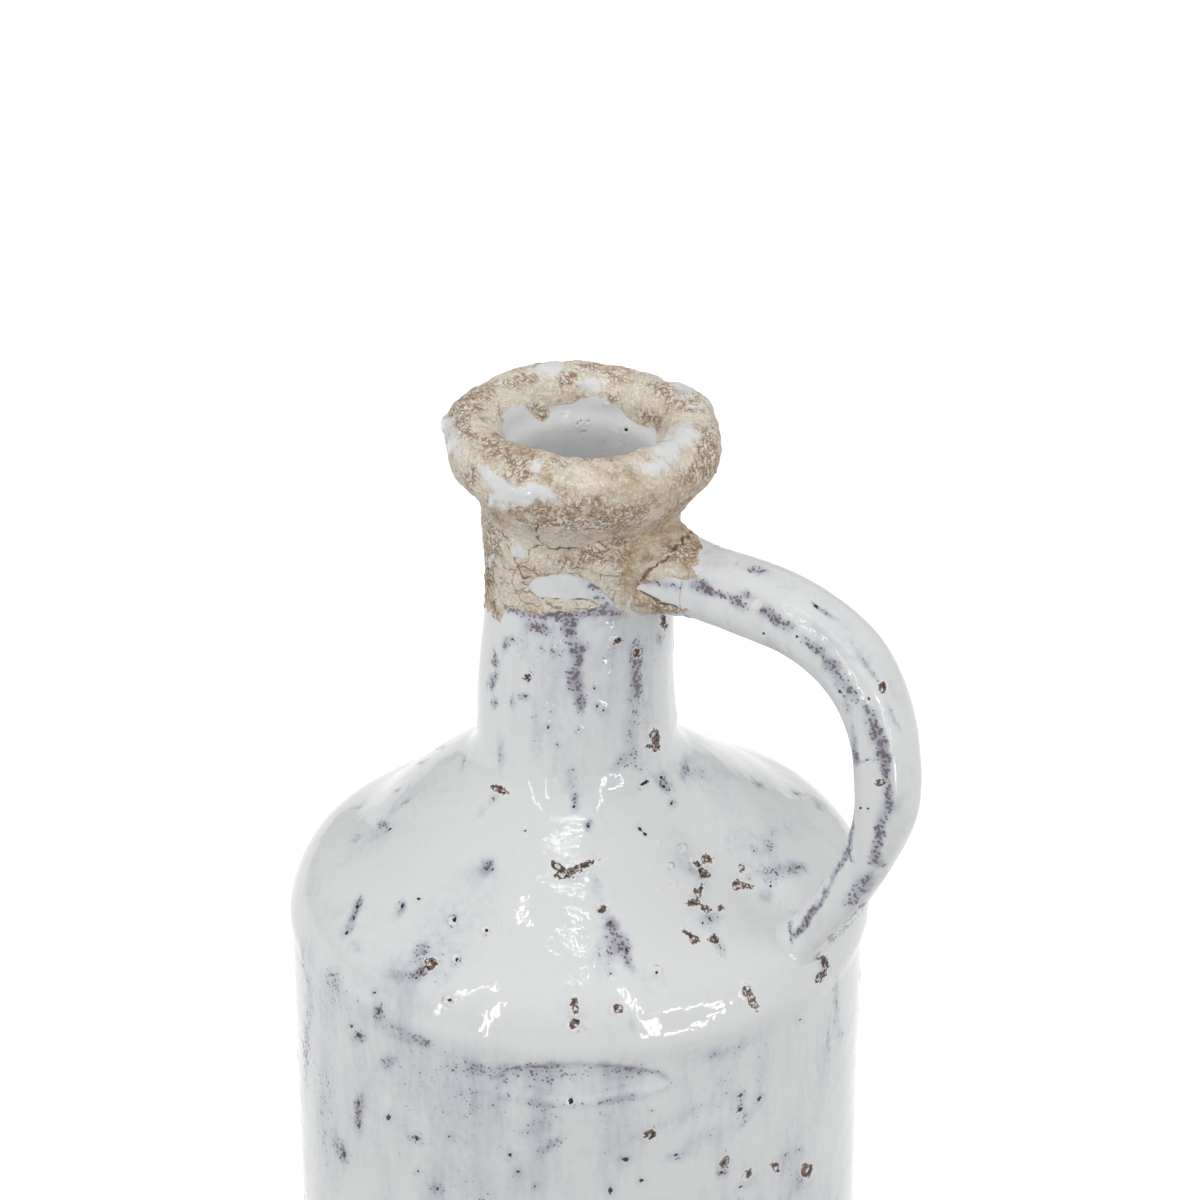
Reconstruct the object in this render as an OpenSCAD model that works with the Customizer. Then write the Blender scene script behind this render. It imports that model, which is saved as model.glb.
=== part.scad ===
// Glazed terracotta jug vase: a straight body on a slab base, a sloping shoulder, a waisted neck with
// a thick rolled rim, and one pulled handle from the neck to the shoulder. Each piece of clay is its own
// solid, set on its neighbour by a stepped lap, a spigot or a luting coil.
// The axis is Z, the table is z = 0 and the handle lies on +X.

/* [Body] */
// Largest diameter, at the shoulder ring
body_d = 180; // [150:1:240]
// Height of the shoulder ring above the table
body_h = 210; // [120:1:300]
// Thickness of the wall at its foot
wall_t = 8; // [6:0.5:11]
// How far the wall draws in from its top to its foot
foot_draw = 1.3; // [0:0.1:4]
// Thickness of the base slab
base_t = 9; // [6:0.5:14]
// Bevel round the underside of the base slab
foot_bevel = 3; // [1:0.5:5]
// Hollow radius of the coil pressed into the corner between base and wall
base_coil_r = 9; // [5:0.5:14]

/* [Shoulder] */
// Rounding of the shoulder's outer edge
shoulder_edge_r = 25; // [18:1:32]
// Slope of the shoulder in degrees
shoulder_slope = 37; // [28:1:45]
// Thickness of the shoulder
shoulder_t = 8; // [6:0.5:10]
// How far the shoulder ring swells past the top of the wall
ring_swell = 0.9; // [0:0.1:2]
// Depth of the seam below the shoulder ring
seam_drop = 4; // [2:0.5:8]
// Depth of the stepped lap between wall and shoulder
wall_lap_h = 6; // [3:0.5:10]
// Thickness of the shoulder's half of that lap
wall_lap_t = 4; // [3:0.5:5]
// Thickness of the ring that the neck stands on
seat_t = 10; // [8:0.5:14]

/* [Neck] */
// Bore of the neck and throat
mouth_d = 44; // [34:1:48]
// Diameter at the foot of the neck
neck_d = 61; // [58:1:74]
// Diameter at the top of the neck, under the rim
neck_top_d = 62.4; // [58:0.2:74]
// How far the waist draws in on each side
neck_waist = 2.2; // [0:0.1:3]
// Height of the neck from its seat to the rim
neck_h = 88; // [70:1:130]
// Thickness of the spigots at both ends of the neck
spigot_t = 5; // [4:0.5:5.5]
// Hollow radius of the coil round the foot of the neck
neck_coil_r = 16.4; // [10:0.2:24]

/* [Rim] */
// Largest diameter of the rim
rim_d = 83; // [78:1:110]
// Height of the rim above the top of the neck
rim_h = 30; // [29:1:45]
// Radius of the rolled lip
lip_r = 8.5; // [6:0.5:9]
// Depth of the socket that laps over the neck
rim_lap_h = 12; // [6:0.5:13]
// How far the throat's flare reaches below the lip's middle
throat_flare_h = 7.5; // [4:0.5:9]

/* [Handle] */
// Width of the strap, seen from outside
handle_w = 21; // [14:0.5:28]
// Thickness of the strap, seen from the side
handle_t = 22; // [14:0.5:28]
// Width of the strap where it lands, as thick as it is wide
handle_foot_w = 12; // [9:0.5:18]
// How far the middle of the strap stands out past the body
handle_overhang = 22; // [10:1:45]
// Gap between the rim and the top of the strap
handle_root_gap = 1.4; // [1.2:0.1:10]
// How far the outermost point of the strap lies below its root
handle_bow_drop = 50; // [30:1:70]
// Angle up the shoulder's edge at which the strap lands
handle_land = 34; // [15:1:45]
// Steepness of the strap as it lands
handle_land_steep = 62; // [40:1:80]
// How far the luting coils spread over the clay at both ends
handle_coil_spread = 4; // [2:0.5:7]

/* [Fit] */
// Slip between fitted faces
slip_gap = 0.2; // [0.1:0.05:0.4]

/* [Hidden] */

$fn = 96;
glaze = [0.89, 0.90, 0.91];
crust = [0.72, 0.64, 0.54];
terracotta = [0.70, 0.42, 0.30];

coil_lip = 0.6;              // least thickness of a coil's pressed edge
arc_steps = 10;              // steps in each rounded stretch of a profile
body_r = body_d / 2;
mouth_r = mouth_d / 2;
neck_r = neck_d / 2;
neck_top_r = neck_top_d / 2;
rim_r = rim_d / 2;

// Wall and base
seam_z = body_h - seam_drop;
wall_top_r = body_r - ring_swell;
foot_r = wall_top_r - foot_draw;
wall_in_r = foot_r - wall_t;

// Shoulder: an edge arc, a straight cone tangent to it, and the flat ring that the neck stands on
edge_c = [body_r - shoulder_edge_r, body_h];
edge_end = 90 - shoulder_slope;
cone_dir = [sin(shoulder_slope), cos(shoulder_slope)];
cone_foot = edge_c + shoulder_edge_r * cone_dir;
seat_r = neck_r + neck_coil_r * (1 - cone_dir.x);
seat_z = cone_foot.y + (cone_foot.x - seat_r) * tan(shoulder_slope);
seat_in_r = seat_r + (seat_t - shoulder_t / cone_dir.y) / tan(shoulder_slope);
hole_r = mouth_r + spigot_t + slip_gap;

// Neck and rim
coil_c = [neck_r + neck_coil_r, seat_z + neck_coil_r * cone_dir.y];
rim_z = seat_z + neck_h;
lip_c = [rim_r - lip_r, rim_z + rim_h - lip_r];
throat_z = lip_c.y - throat_flare_h;

// Centre line of the strap in the XZ plane: two curves that meet upright at the outermost point
strap_sides = 24;
strap_rings = 44;
strap_bury = 9;              // how far the centre line runs on inside the neck and the shoulder
strap_roundness = 2.5;       // 2 gives an oval section, more gives a squarer one
root_p = [neck_top_r - strap_bury / 2, rim_z - handle_root_gap - handle_t / 2];
bow_p = [body_r + handle_overhang, root_p.y - handle_bow_drop];
land_p = edge_c + (shoulder_edge_r - strap_bury) * [cos(handle_land), sin(handle_land)];
root_run = 0.55 * (bow_p.x - root_p.x);    // level run out of the neck
bow_up = 1.08 * handle_bow_drop;           // upright run above the outermost point
bow_down = 0.34 * (bow_p.y - land_p.y);    // upright run below it
land_run = 0.21 * (bow_p.y - land_p.y);    // straight run down to the shoulder
root_curve = [root_p, root_p + [root_run, 0], bow_p + [0, bow_up], bow_p];
land_curve = [bow_p, bow_p - [0, bow_down],
              land_p + land_run * [cos(handle_land_steep), sin(handle_land_steep)], land_p];
taper_u = [0.5, 1.9];        // where the strap starts and ends its taper
root_coil_u = 0.15;          // where the root coil ends on the strap
foot_coil_u = 1.72;          // where the foot coil ends on the strap
coil_rings = 14;
coil_past = 0.04;            // how far the strap's bore runs on past both ends of a coil

// Points along an arc about c
function arc(c, r, a0, a1, n = arc_steps) =
    [for (i = [0:n]) let (a = a0 + (a1 - a0) * i / n) c + r * [cos(a), sin(a)]];

// Point and direction on a cubic curve
function curve(p, t) =
    pow(1 - t, 3) * p[0] + 3 * pow(1 - t, 2) * t * p[1] + 3 * (1 - t) * t * t * p[2] + pow(t, 3) * p[3];
function curve_dir(p, t) =
    3 * pow(1 - t, 2) * (p[1] - p[0]) + 6 * (1 - t) * t * (p[2] - p[1]) + 3 * t * t * (p[3] - p[2]);
function curve_points(p, n = arc_steps) = [for (i = [0:n]) curve(p, i / n)];

function smooth(t) = t <= 0 ? 0 : t >= 1 ? 1 : t * t * (3 - 2 * t);

// Outside of the shoulder from the seam to the neck's seat, grown outwards by g
function shoulder_outline(g = 0) = concat(
    [[wall_top_r + g, seam_z]],
    arc(edge_c, shoulder_edge_r + g, 0, edge_end),
    [[seat_r, seat_z] + g * cone_dir]);

// Outside of the neck from its seat to the rim, straight behind the coil and then drawn in, grown by g
function neck_radius(t) = neck_r + (neck_top_r - neck_r) * t - neck_waist * sin(180 * t);
function neck_outline(g = 0) = concat(
    [[neck_r + g, seat_z]],
    [for (i = [0:2 * arc_steps]) let (t = i / 2 / arc_steps)
        [neck_radius(t) + g, coil_c.y + (rim_z - coil_c.y) * t]]);

// Underside and flank of the rim, from the neck out to the lip: hollow at first, then full
flank_hollow = [0.22, 0.25];
flank_full = [1, 0.46];
flank_size = [rim_r - neck_top_r, lip_c.y - rim_z];
flank_p = [neck_top_r, rim_z];
rim_flank = [flank_p,
             flank_p + [flank_hollow.x * flank_size.x, flank_hollow.y * flank_size.y],
             flank_p + [flank_full.x * flank_size.x, flank_full.y * flank_size.y],
             flank_p + flank_size];

// Flare from the lip's inner side down to the throat
throat_curve = [[lip_c.x - lip_r, lip_c.y],
                [lip_c.x - lip_r, lip_c.y - throat_flare_h / 2],
                [mouth_r, throat_z + throat_flare_h / 2],
                [mouth_r, throat_z]];

// Strap at u, from 0 at the root through 1 at the outermost point to 2 at the foot
function strap_centre(u) = u < 1 ? curve(root_curve, u) : curve(land_curve, u - 1);
function strap_dir(u) =
    let (d = u < 1 ? curve_dir(root_curve, u) : curve_dir(land_curve, u - 1)) d / norm(d);
function strap_taper(u) = smooth((u - taper_u[0]) / (taper_u[1] - taper_u[0]));

// How far the strap's centre line has come out of the neck, and out of the shoulder, at u
function root_stand(u) = max(0, strap_centre(u).x - neck_top_r);
function foot_stand(u) = max(0, norm(strap_centre(u) - edge_c) - shoulder_edge_r);

// One ring of the strap's section at u, grown by g
function strap_ring(u, g) =
    let (c = strap_centre(u),
         d = strap_dir(u),
         k = strap_taper(u),
         half_t = handle_t / 2 * (1 - k) + handle_foot_w / 2 * k + g,
         half_w = handle_w / 2 * (1 - k) + handle_foot_w / 2 * k + g)
    [for (i = [0:strap_sides - 1])
        let (a = 360 * i / strap_sides,
             p = half_t * sign(cos(a)) * pow(abs(cos(a)), 2 / strap_roundness),
             q = half_w * sign(sin(a)) * pow(abs(sin(a)), 2 / strap_roundness))
        [c.x - d.y * p, q, c.y + d.x * p]];

// Strap from u0 to u1, its section grown by grow(u)
module strap_sweep(u0, u1, rings, grow) {
    n = strap_sides;
    points = [for (i = [0:rings]) let (u = u0 + (u1 - u0) * i / rings) each strap_ring(u, grow(u))];
    sides = [for (i = [0:rings - 1], j = [0:n - 1])
        let (a = i * n + j, b = i * n + (j + 1) % n)
        each [[a, b, a + n], [b, b + n, a + n]]];
    root_cap = [for (j = [n - 1:-1:0]) j];
    foot_cap = [for (j = [0:n - 1]) rings * n + j];
    polyhedron(points, concat(sides, [root_cap, foot_cap]), convexity = 6);
}

// Body of the jug as one mass, grown by the slip, that cuts the ends of the handle's pieces
module jug_mass() {
    rotate_extrude()
        polygon(concat([[0, seam_z]], shoulder_outline(slip_gap), neck_outline(slip_gap), [[0, rim_z]]));
}

module base_slab() {
    color(terracotta)
        rotate_extrude()
            polygon([[0, 0], [foot_r - foot_bevel, 0], [foot_r, foot_bevel], [foot_r, base_t], [0, base_t]]);
}

module base_coil() {
    outer_r = wall_in_r - slip_gap;
    hollow_c = [outer_r - coil_lip - base_coil_r, base_t + coil_lip + base_coil_r];
    color(glaze)
        rotate_extrude()
            polygon(concat(
                [[hollow_c.x, base_t], [outer_r, base_t], [outer_r, hollow_c.y]],
                arc(hollow_c, base_coil_r, 0, -90)));
}

module body_wall() {
    lap_r = wall_in_r + wall_lap_t + slip_gap;
    color(glaze)
        rotate_extrude()
            polygon([[wall_in_r, base_t], [foot_r, base_t], [wall_top_r, seam_z], [lap_r, seam_z],
                     [lap_r, seam_z - wall_lap_h], [wall_in_r, seam_z - wall_lap_h]]);
}

module shoulder_dome() {
    lap_r = wall_in_r + wall_lap_t;
    inner_edge = arc(edge_c, shoulder_edge_r - shoulder_t, edge_end, 0);
    color(glaze)
        rotate_extrude()
            polygon(concat(
                [[wall_in_r, seam_z - wall_lap_h], [lap_r, seam_z - wall_lap_h], [lap_r, seam_z]],
                shoulder_outline(),
                [[hole_r, seat_z], [hole_r, seat_z - seat_t], [seat_in_r, seat_z - seat_t]],
                inner_edge,
                [[wall_in_r, seam_z]]));
}

module neck_coil() {
    inner_r = neck_r + slip_gap;
    top_a = 180 + acos((coil_c.x - inner_r - coil_lip) / neck_coil_r);
    color(glaze)
        rotate_extrude()
            polygon(concat(
                [[inner_r, seat_z]],
                arc(coil_c, neck_coil_r, 270 - shoulder_slope, top_a),
                [[inner_r, coil_c.y + neck_coil_r * sin(top_a)]]));
}

module neck_tube() {
    spigot_r = mouth_r + spigot_t;
    color(glaze)
        rotate_extrude()
            polygon(concat(
                [[mouth_r, seat_z - seat_t], [spigot_r, seat_z - seat_t], [spigot_r, seat_z]],
                neck_outline(),
                [[spigot_r, rim_z], [spigot_r, rim_z + rim_lap_h], [mouth_r, rim_z + rim_lap_h]]));
}

module rim_collar() {
    color(crust)
        rotate_extrude()
            polygon(concat(
                [[mouth_r, rim_z + rim_lap_h], [hole_r, rim_z + rim_lap_h], [hole_r, rim_z]],
                curve_points(rim_flank),
                [for (p = arc(lip_c, lip_r, 0, 180, 2 * arc_steps)) if (p != flank_p + flank_size) p],
                [for (i = [1:arc_steps]) curve(throat_curve, i / arc_steps)]));
}

module handle_strap() {
    color(glaze)
        difference() {
            strap_sweep(0, 2, strap_rings, function(u) 0);
            jug_mass();
        }
}

// Clay pressed round the strap from u0 to u1, thickest where it stands least far from the jug
module luting_coil(u0, u1, stand) {
    reach = max(stand(u0), stand(u1));
    difference() {
        strap_sweep(u0, u1, coil_rings, function(u)
            slip_gap + coil_lip + handle_coil_spread * pow(1 - stand(u) / reach, 2));
        strap_sweep(u0 - coil_past, u1 + coil_past, coil_rings, function(u) slip_gap);
        jug_mass();
    }
}

module handle_root_coil() {
    color(crust)
        difference() {
            luting_coil(0, root_coil_u, function(u) root_stand(u));
            translate([0, 0, rim_z - slip_gap])
                cylinder(r = body_r, h = rim_h);
        }
}

module handle_foot_coil() {
    color(glaze)
        luting_coil(foot_coil_u, 2, function(u) foot_stand(u));
}

base_slab();
base_coil();
body_wall();
shoulder_dome();
neck_coil();
neck_tube();
rim_collar();
handle_strap();
handle_root_coil();
handle_foot_coil();
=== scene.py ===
import math

import bpy
import numpy as np
from mathutils import Matrix, Vector


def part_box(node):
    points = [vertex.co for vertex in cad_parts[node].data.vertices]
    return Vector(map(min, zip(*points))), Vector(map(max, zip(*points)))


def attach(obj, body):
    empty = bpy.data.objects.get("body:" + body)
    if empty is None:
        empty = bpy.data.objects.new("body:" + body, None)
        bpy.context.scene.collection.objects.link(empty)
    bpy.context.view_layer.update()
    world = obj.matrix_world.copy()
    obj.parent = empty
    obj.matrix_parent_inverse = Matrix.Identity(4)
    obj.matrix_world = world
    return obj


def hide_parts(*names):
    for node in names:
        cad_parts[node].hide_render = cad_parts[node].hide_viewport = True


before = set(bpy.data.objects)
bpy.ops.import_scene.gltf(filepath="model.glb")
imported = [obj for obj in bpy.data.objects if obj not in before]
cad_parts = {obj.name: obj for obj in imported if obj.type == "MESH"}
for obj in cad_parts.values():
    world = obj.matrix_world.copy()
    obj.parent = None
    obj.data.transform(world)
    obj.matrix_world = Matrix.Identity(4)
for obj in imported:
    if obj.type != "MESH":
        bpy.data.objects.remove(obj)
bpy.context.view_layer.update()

print("frame loaded,", len(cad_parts), "pieces of clay")

farOut = -9.0                                   # signed distance, in mm, far outside every mark


# A node's box in millimetres: lowest corner and highest corner
def boxMm(node):
    low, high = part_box(node)
    return np.array(low) * 1000, np.array(high) * 1000


# Smooth step: t squared times (3 - 2 t), with t running from 0 at a to 1 at b
def ease(x, a, b):
    t = np.clip((x - a) / (b - a), 0, 1)
    return t * t * (3 - 2 * t)


# Hash of a whole-number cell: products with odd numbers, folded by shifts, as a share of 1
def cellHash(ix, iy, iz, seed):
    h = (ix * 374761393 + iy * 668265263 + iz * 1440662683 + seed * 974711) & 0xffffffff
    h = ((h ^ (h >> 13)) * 1274126177) & 0xffffffff
    h = ((h ^ (h >> 15)) * 2246822519) & 0xffffffff
    return ((h ^ (h >> 16)) & 0xffffff) / 0xffffff


# Noise from -1 to 1: the eight corner hashes of a cell, mixed by the smooth weights of the place in it
def noise(p, size, seed):
    q = p / np.asarray(size, float)
    cell = np.floor(q).astype(np.int64)
    f = q - cell
    w = f * f * f * (f * (f * 6 - 15) + 10)
    total = np.zeros(p.shape[:-1])
    for k in range(8):
        c = [(k >> axis) & 1 for axis in range(3)]
        weight = np.ones(p.shape[:-1])
        for axis in range(3):
            weight = weight * (w[..., axis] if c[axis] else 1 - w[..., axis])
        total += weight * cellHash(cell[..., 0] + c[0], cell[..., 1] + c[1], cell[..., 2] + c[2], seed)
    return total * 2 - 1


# Layered noise: a sum of noises, each half as wide and a share as strong as the one before
def layered(p, size, seed, layers=4, share=0.5):
    total = np.zeros(p.shape[:-1])
    size = np.asarray(size, float)
    for k in range(layers):
        total += share ** k * noise(p, size / 2 ** k, seed + 17 * k)
    return total


# Cells: distances, in cell widths, to the nearest and second nearest of one hashed point per cell
def cells(p, size, seed):
    q = p / np.asarray(size, float)
    cell = np.floor(q).astype(np.int64)
    near = np.full(p.shape[:-1], 9.0)
    second = np.full(p.shape[:-1], 9.0)
    tone = np.zeros(p.shape[:-1])
    for k in range(27):
        at = [cell[..., axis] + (k // 3 ** axis) % 3 - 1 for axis in range(3)]
        d = np.zeros(p.shape[:-1])
        for axis in range(3):
            d += (at[axis] + cellHash(at[0], at[1], at[2], seed + axis) - q[..., axis]) ** 2
        d = np.sqrt(d)
        tone = np.where(d < near, cellHash(at[0], at[1], at[2], seed + 5), tone)
        second = np.where(d < near, near, np.minimum(second, d))
        near = np.minimum(near, d)
    return near, second, tone


photoView = {
    "turn": 36.0,            # degrees round from the front, towards the handle
    "down": 28.0,            # degrees looking down
    "away": 1600.0,          # mm from the camera to its aim
    "aimZ": 317.5,           # height of the aim on the jug's axis
    "aside": 6.4,            # how far the camera stands to its right of the axis
    "focal": 5256.0,         # focal length in pixels of the 1200 wide frame
    "middle": 600.0,
    "pxPerMm": 3.285,
}
turnA = math.radians(photoView["turn"])
downA = math.radians(photoView["down"])
viewBack = np.array([math.sin(turnA) * math.cos(downA), -math.cos(turnA) * math.cos(downA),
                     math.sin(downA)])
viewRight = np.array([math.cos(turnA), math.sin(turnA), 0.0])
viewUp = np.cross(viewBack, viewRight)
viewAim = np.array([0.0, 0.0, photoView["aimZ"]])
eyeMm = viewAim + viewBack * photoView["away"] + viewRight * photoView["aside"]
frontA = math.atan2(viewBack[1], viewBack[0])   # the side of the jug that faces the camera


# Pixel of a point: its parts to the right and up from the eye, over its depth, times the focal length
def photoOf(p):
    q = p - eyeMm
    depth = -(q @ viewBack)
    u = photoView["middle"] + photoView["focal"] * (q @ viewRight) / depth
    v = photoView["middle"] - photoView["focal"] * (q @ viewUp) / depth
    return u, v


# Rough pixels: the pixel of a point moved by noise, so that marks get ragged outlines
def roughPhotoOf(p, amount, width):
    u, v = photoOf(p)
    return u + amount * layered(p, width, 91, 2), v + amount * layered(p, width, 95, 2)


# Share of facing: the normal's part along the line to the eye
def facingOf(p, n):
    ray = eyeMm - p
    return (n * ray).sum(-1) / np.linalg.norm(ray, axis=-1)


# Ovals: 1 less the length of the turned and scaled offset, times the small radius, in mm.
# The largest counts
def ovals(u, v, marks, snap=None):
    best = np.full(u.shape, farOut)
    for cu, cv, a, b, turn in marks:
        if snap is not None:                    # a small mark moves to the nearest grid point that is seen
            far = (u - cu) ** 2 + (v - cv) ** 2 + np.where(snap, 0, 1e6)
            near = np.argmin(far)
            if far.flat[near] > 4:
                continue
            cu, cv = u.flat[near], v.flat[near]
        c, s = math.cos(math.radians(turn)), math.sin(math.radians(turn))
        du, dv = u - cu, v - cv
        d = np.hypot((du * c + dv * s) / a, (dv * c - du * s) / b)
        best = np.maximum(best, (1 - d) * min(a, b) / photoView["pxPerMm"])
    return np.maximum(best, farOut)


# Distance in pixels to a broken line: to the nearest point of each stretch, the least of all
def lineDistance(u, v, line):
    best = np.full(u.shape, 1e6)
    for (au, av), (bu, bv) in zip(line[:-1], line[1:]):
        du, dv = bu - au, bv - av
        t = np.clip(((u - au) * du + (v - av) * dv) / (du * du + dv * dv + 1e-9), 0, 1)
        best = np.minimum(best, np.hypot(u - au - t * du, v - av - t * dv))
    return best


# Strokes: half width less the distance to a broken line, in mm. The largest counts
def strokes(u, v, lines):
    best = np.full(u.shape, farOut)
    for half, line in lines:
        best = np.maximum(best, (half - lineDistance(u, v, line)) / photoView["pxPerMm"])
    return np.maximum(best, farOut)


# Area inside a closed line in the photo: distance to the line, positive inside by the crossing count, in mm
def patch(u, v, line):
    ring = list(line) + [line[0]]
    inside = np.zeros(u.shape, bool)
    for (au, av), (bu, bv) in zip(ring[:-1], ring[1:]):
        crosses = (av > v) != (bv > v)
        inside ^= crosses & (u < (bu - au) * (v - av) / (bv - av + 1e-9) + au)
    d = lineDistance(u, v, ring) / photoView["pxPerMm"]
    return np.clip(np.where(inside, d, -d), farOut, -farOut)


# Smears: soft ovals, each a bell curve of the turned and scaled offset, added up
def smears(u, v, marks):
    total = np.zeros(u.shape)
    for cu, cv, a, b, turn, strength in marks:
        c, s = math.cos(math.radians(turn)), math.sin(math.radians(turn))
        du, dv = u - cu, v - cv
        total += strength * np.exp(-((du * c + dv * s) / a) ** 2 - ((dv * c - du * s) / b) ** 2)
    return total


# Scattered spots for the sides that the photo doesn't show: ovals in mm round the jug and along its outline
def scattered(theta, s, radius, marks):
    best = np.full(theta.shape, farOut)
    for t0, s0, a, b in marks:
        across = (np.mod(theta - t0 + np.pi, 2 * np.pi) - np.pi) * radius
        d = np.hypot(across / a, (s - s0) / b)
        best = np.maximum(best, (1 - d) * min(a, b))
    return np.maximum(best, farOut)


# Random marks: even draws of the angle and height, sizes between two values, all of one seed
def randomMarks(count, s0, s1, small, large, tall, seed):
    draw = np.random.default_rng(seed)
    a = draw.uniform(small, large, count)
    return list(zip(draw.uniform(-np.pi, np.pi, count), draw.uniform(s0, s1, count), a,
                    a * draw.uniform(1, tall, count)))


# Grid surface: each cell is a four-sided face, columns and rows close into rings, open ends get a fan
def gridMesh(name, points, fields, material, wrapRows=True, normals=None, sharp=60):
    rows, cols = points.shape[:2]
    index = np.arange(rows * cols).reshape(rows, cols)
    right = np.roll(index, -1, 1)
    if wrapRows:
        index2, right2 = np.roll(index, -1, 0), np.roll(right, -1, 0)
        quads = np.stack([index, right, right2, index2], -1).reshape(-1, 4)
        fans = np.zeros((0, 3), int)
        flat = points.reshape(-1, 3)
    else:
        quads = np.stack([index[:-1], right[:-1], right[1:], index[1:]], -1).reshape(-1, 4)
        first, last = rows * cols, rows * cols + 1
        low = np.stack([right[0], index[0], np.full(cols, first)], -1)
        high = np.stack([index[-1], right[-1], np.full(cols, last)], -1)
        fans = np.concatenate([low, high])
        flat = np.concatenate([points.reshape(-1, 3), points[0].mean(0)[None], points[-1].mean(0)[None]])
    mesh = bpy.data.meshes.new(name)
    mesh.vertices.add(len(flat))
    mesh.vertices.foreach_set("co", (flat * 0.001).astype(np.float32).ravel())
    corners = np.concatenate([quads.ravel(), fans.ravel()]).astype(np.int32)
    mesh.loops.add(len(corners))
    mesh.loops.foreach_set("vertex_index", corners)
    starts = np.concatenate([np.arange(len(quads)) * 4, len(quads) * 4 + np.arange(len(fans)) * 3])
    mesh.polygons.add(len(starts))
    mesh.polygons.foreach_set("loop_start", starts.astype(np.int32))
    mesh.polygons.foreach_set("use_smooth", np.ones(len(starts), bool))
    mesh.update(calc_edges=True)
    for key, value in fields.items():
        whole = np.zeros(len(flat), np.float32)
        whole[:rows * cols] = np.asarray(value, np.float32).ravel()
        if not wrapRows:
            whole[-2:] = np.asarray(value)[0].mean(), np.asarray(value)[-1].mean()
        mesh.attributes.new(key, "FLOAT", "POINT").data.foreach_set("value", whole)
    mesh.set_sharp_from_angle(angle=math.radians(sharp))
    if normals is not None:
        extra = len(flat) - rows * cols
        mesh.normals_split_custom_set_from_vertices(
            np.concatenate([normals.reshape(-1, 3), np.zeros((extra, 3))]).tolist())
    mesh.materials.append(material)
    piece = bpy.data.objects.new(name, mesh)
    bpy.context.scene.collection.objects.link(piece)
    print("made", name, len(quads) * 2 + len(fans), "triangles")
    return piece


# Each piece rides on the jug's one body and stands for its node, which is hidden
def place(piece, node):
    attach(piece, "root")
    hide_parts(node)


class Wire:                                     # a socket that works in expressions
    def __init__(self, tree, socket):
        self.tree = tree
        self.socket = socket

    def math(self, operation, a, b=None):
        values = {0: a} if b is None else {0: a, 1: b}
        return self.tree.add("ShaderNodeMath", {"operation": operation}, values)

    def __add__(self, other):
        return self.math("ADD", self, other)

    def __radd__(self, other):
        return self.math("ADD", other, self)

    def __sub__(self, other):
        return self.math("SUBTRACT", self, other)

    def __rsub__(self, other):
        return self.math("SUBTRACT", other, self)

    def __mul__(self, other):
        return self.math("MULTIPLY", self, other)

    def __rmul__(self, other):
        return self.math("MULTIPLY", other, self)

    def most(self, other):
        return self.math("MAXIMUM", self, other)


class Tree:                                     # one material's nodes
    def __init__(self, name):
        self.material = bpy.data.materials.new(name)
        self.material.use_nodes = True
        self.nodes = self.material.node_tree.nodes
        self.links = self.material.node_tree.links
        self.shader = self.nodes["Principled BSDF"]
        self.place = self.add("ShaderNodeTexCoord", {}, {}, "Object")

    def add(self, kind, settings, values, output=0):      # a node: its type, its settings, its inputs
        node = self.nodes.new(kind)
        for key, value in settings.items():
            setattr(node, key, value)
        self.feed(node, values)
        return Wire(self, node.outputs[output])

    def feed(self, node, values):
        for key, value in values.items():
            if isinstance(value, Wire):
                self.links.new(value.socket, node.inputs[key])
            else:
                node.inputs[key].default_value = value

    def stretched(self, scale):                 # object coordinates, stretched
        return self.add("ShaderNodeMapping", {}, {"Vector": self.place, "Scale": scale})

    def shaken(self, scale, amount):            # object coordinates, pushed about by a noise
        push = self.add("ShaderNodeTexNoise", {}, {"Vector": self.place, "Scale": scale}, "Color")
        return self.add("ShaderNodeVectorMath", {"operation": "MULTIPLY_ADD"},
                        {0: push, 1: (amount, amount, amount), 2: self.place})

    def cloud(self, scale, detail=2.0, at=None, rough=0.5):
        values = {"Vector": at or self.place, "Scale": scale, "Detail": detail, "Roughness": rough}
        return self.add("ShaderNodeTexNoise", {}, values, "Fac")

    def cellDistance(self, scale, feature="F1", at=None):
        values = {"Vector": at or self.place, "Scale": scale}
        return self.add("ShaderNodeTexVoronoi", {"feature": feature}, values, "Distance")

    def field(self, name):
        return self.add("ShaderNodeAttribute", {"attribute_name": name}, {}, "Fac")

    def step(self, value, a, b):                # 0 below a, 1 above b, smooth between
        return self.add("ShaderNodeMapRange", {"interpolation_type": "SMOOTHSTEP"},
                        {"Value": value, "From Min": a, "From Max": b}, "Result")

    def mix(self, factor, a, b):                # colours
        return self.add("ShaderNodeMix", {"data_type": "RGBA"}, {0: factor, 6: a, 7: b}, 2)

    def bump(self, height, distance):           # distance in metres
        return self.add("ShaderNodeBump", {}, {"Height": height, "Distance": distance}, "Normal")

    def finish(self, values):
        self.feed(self.shader, values)
        print("material", self.material.name, len(self.nodes), "nodes")
        return self.material


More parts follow.
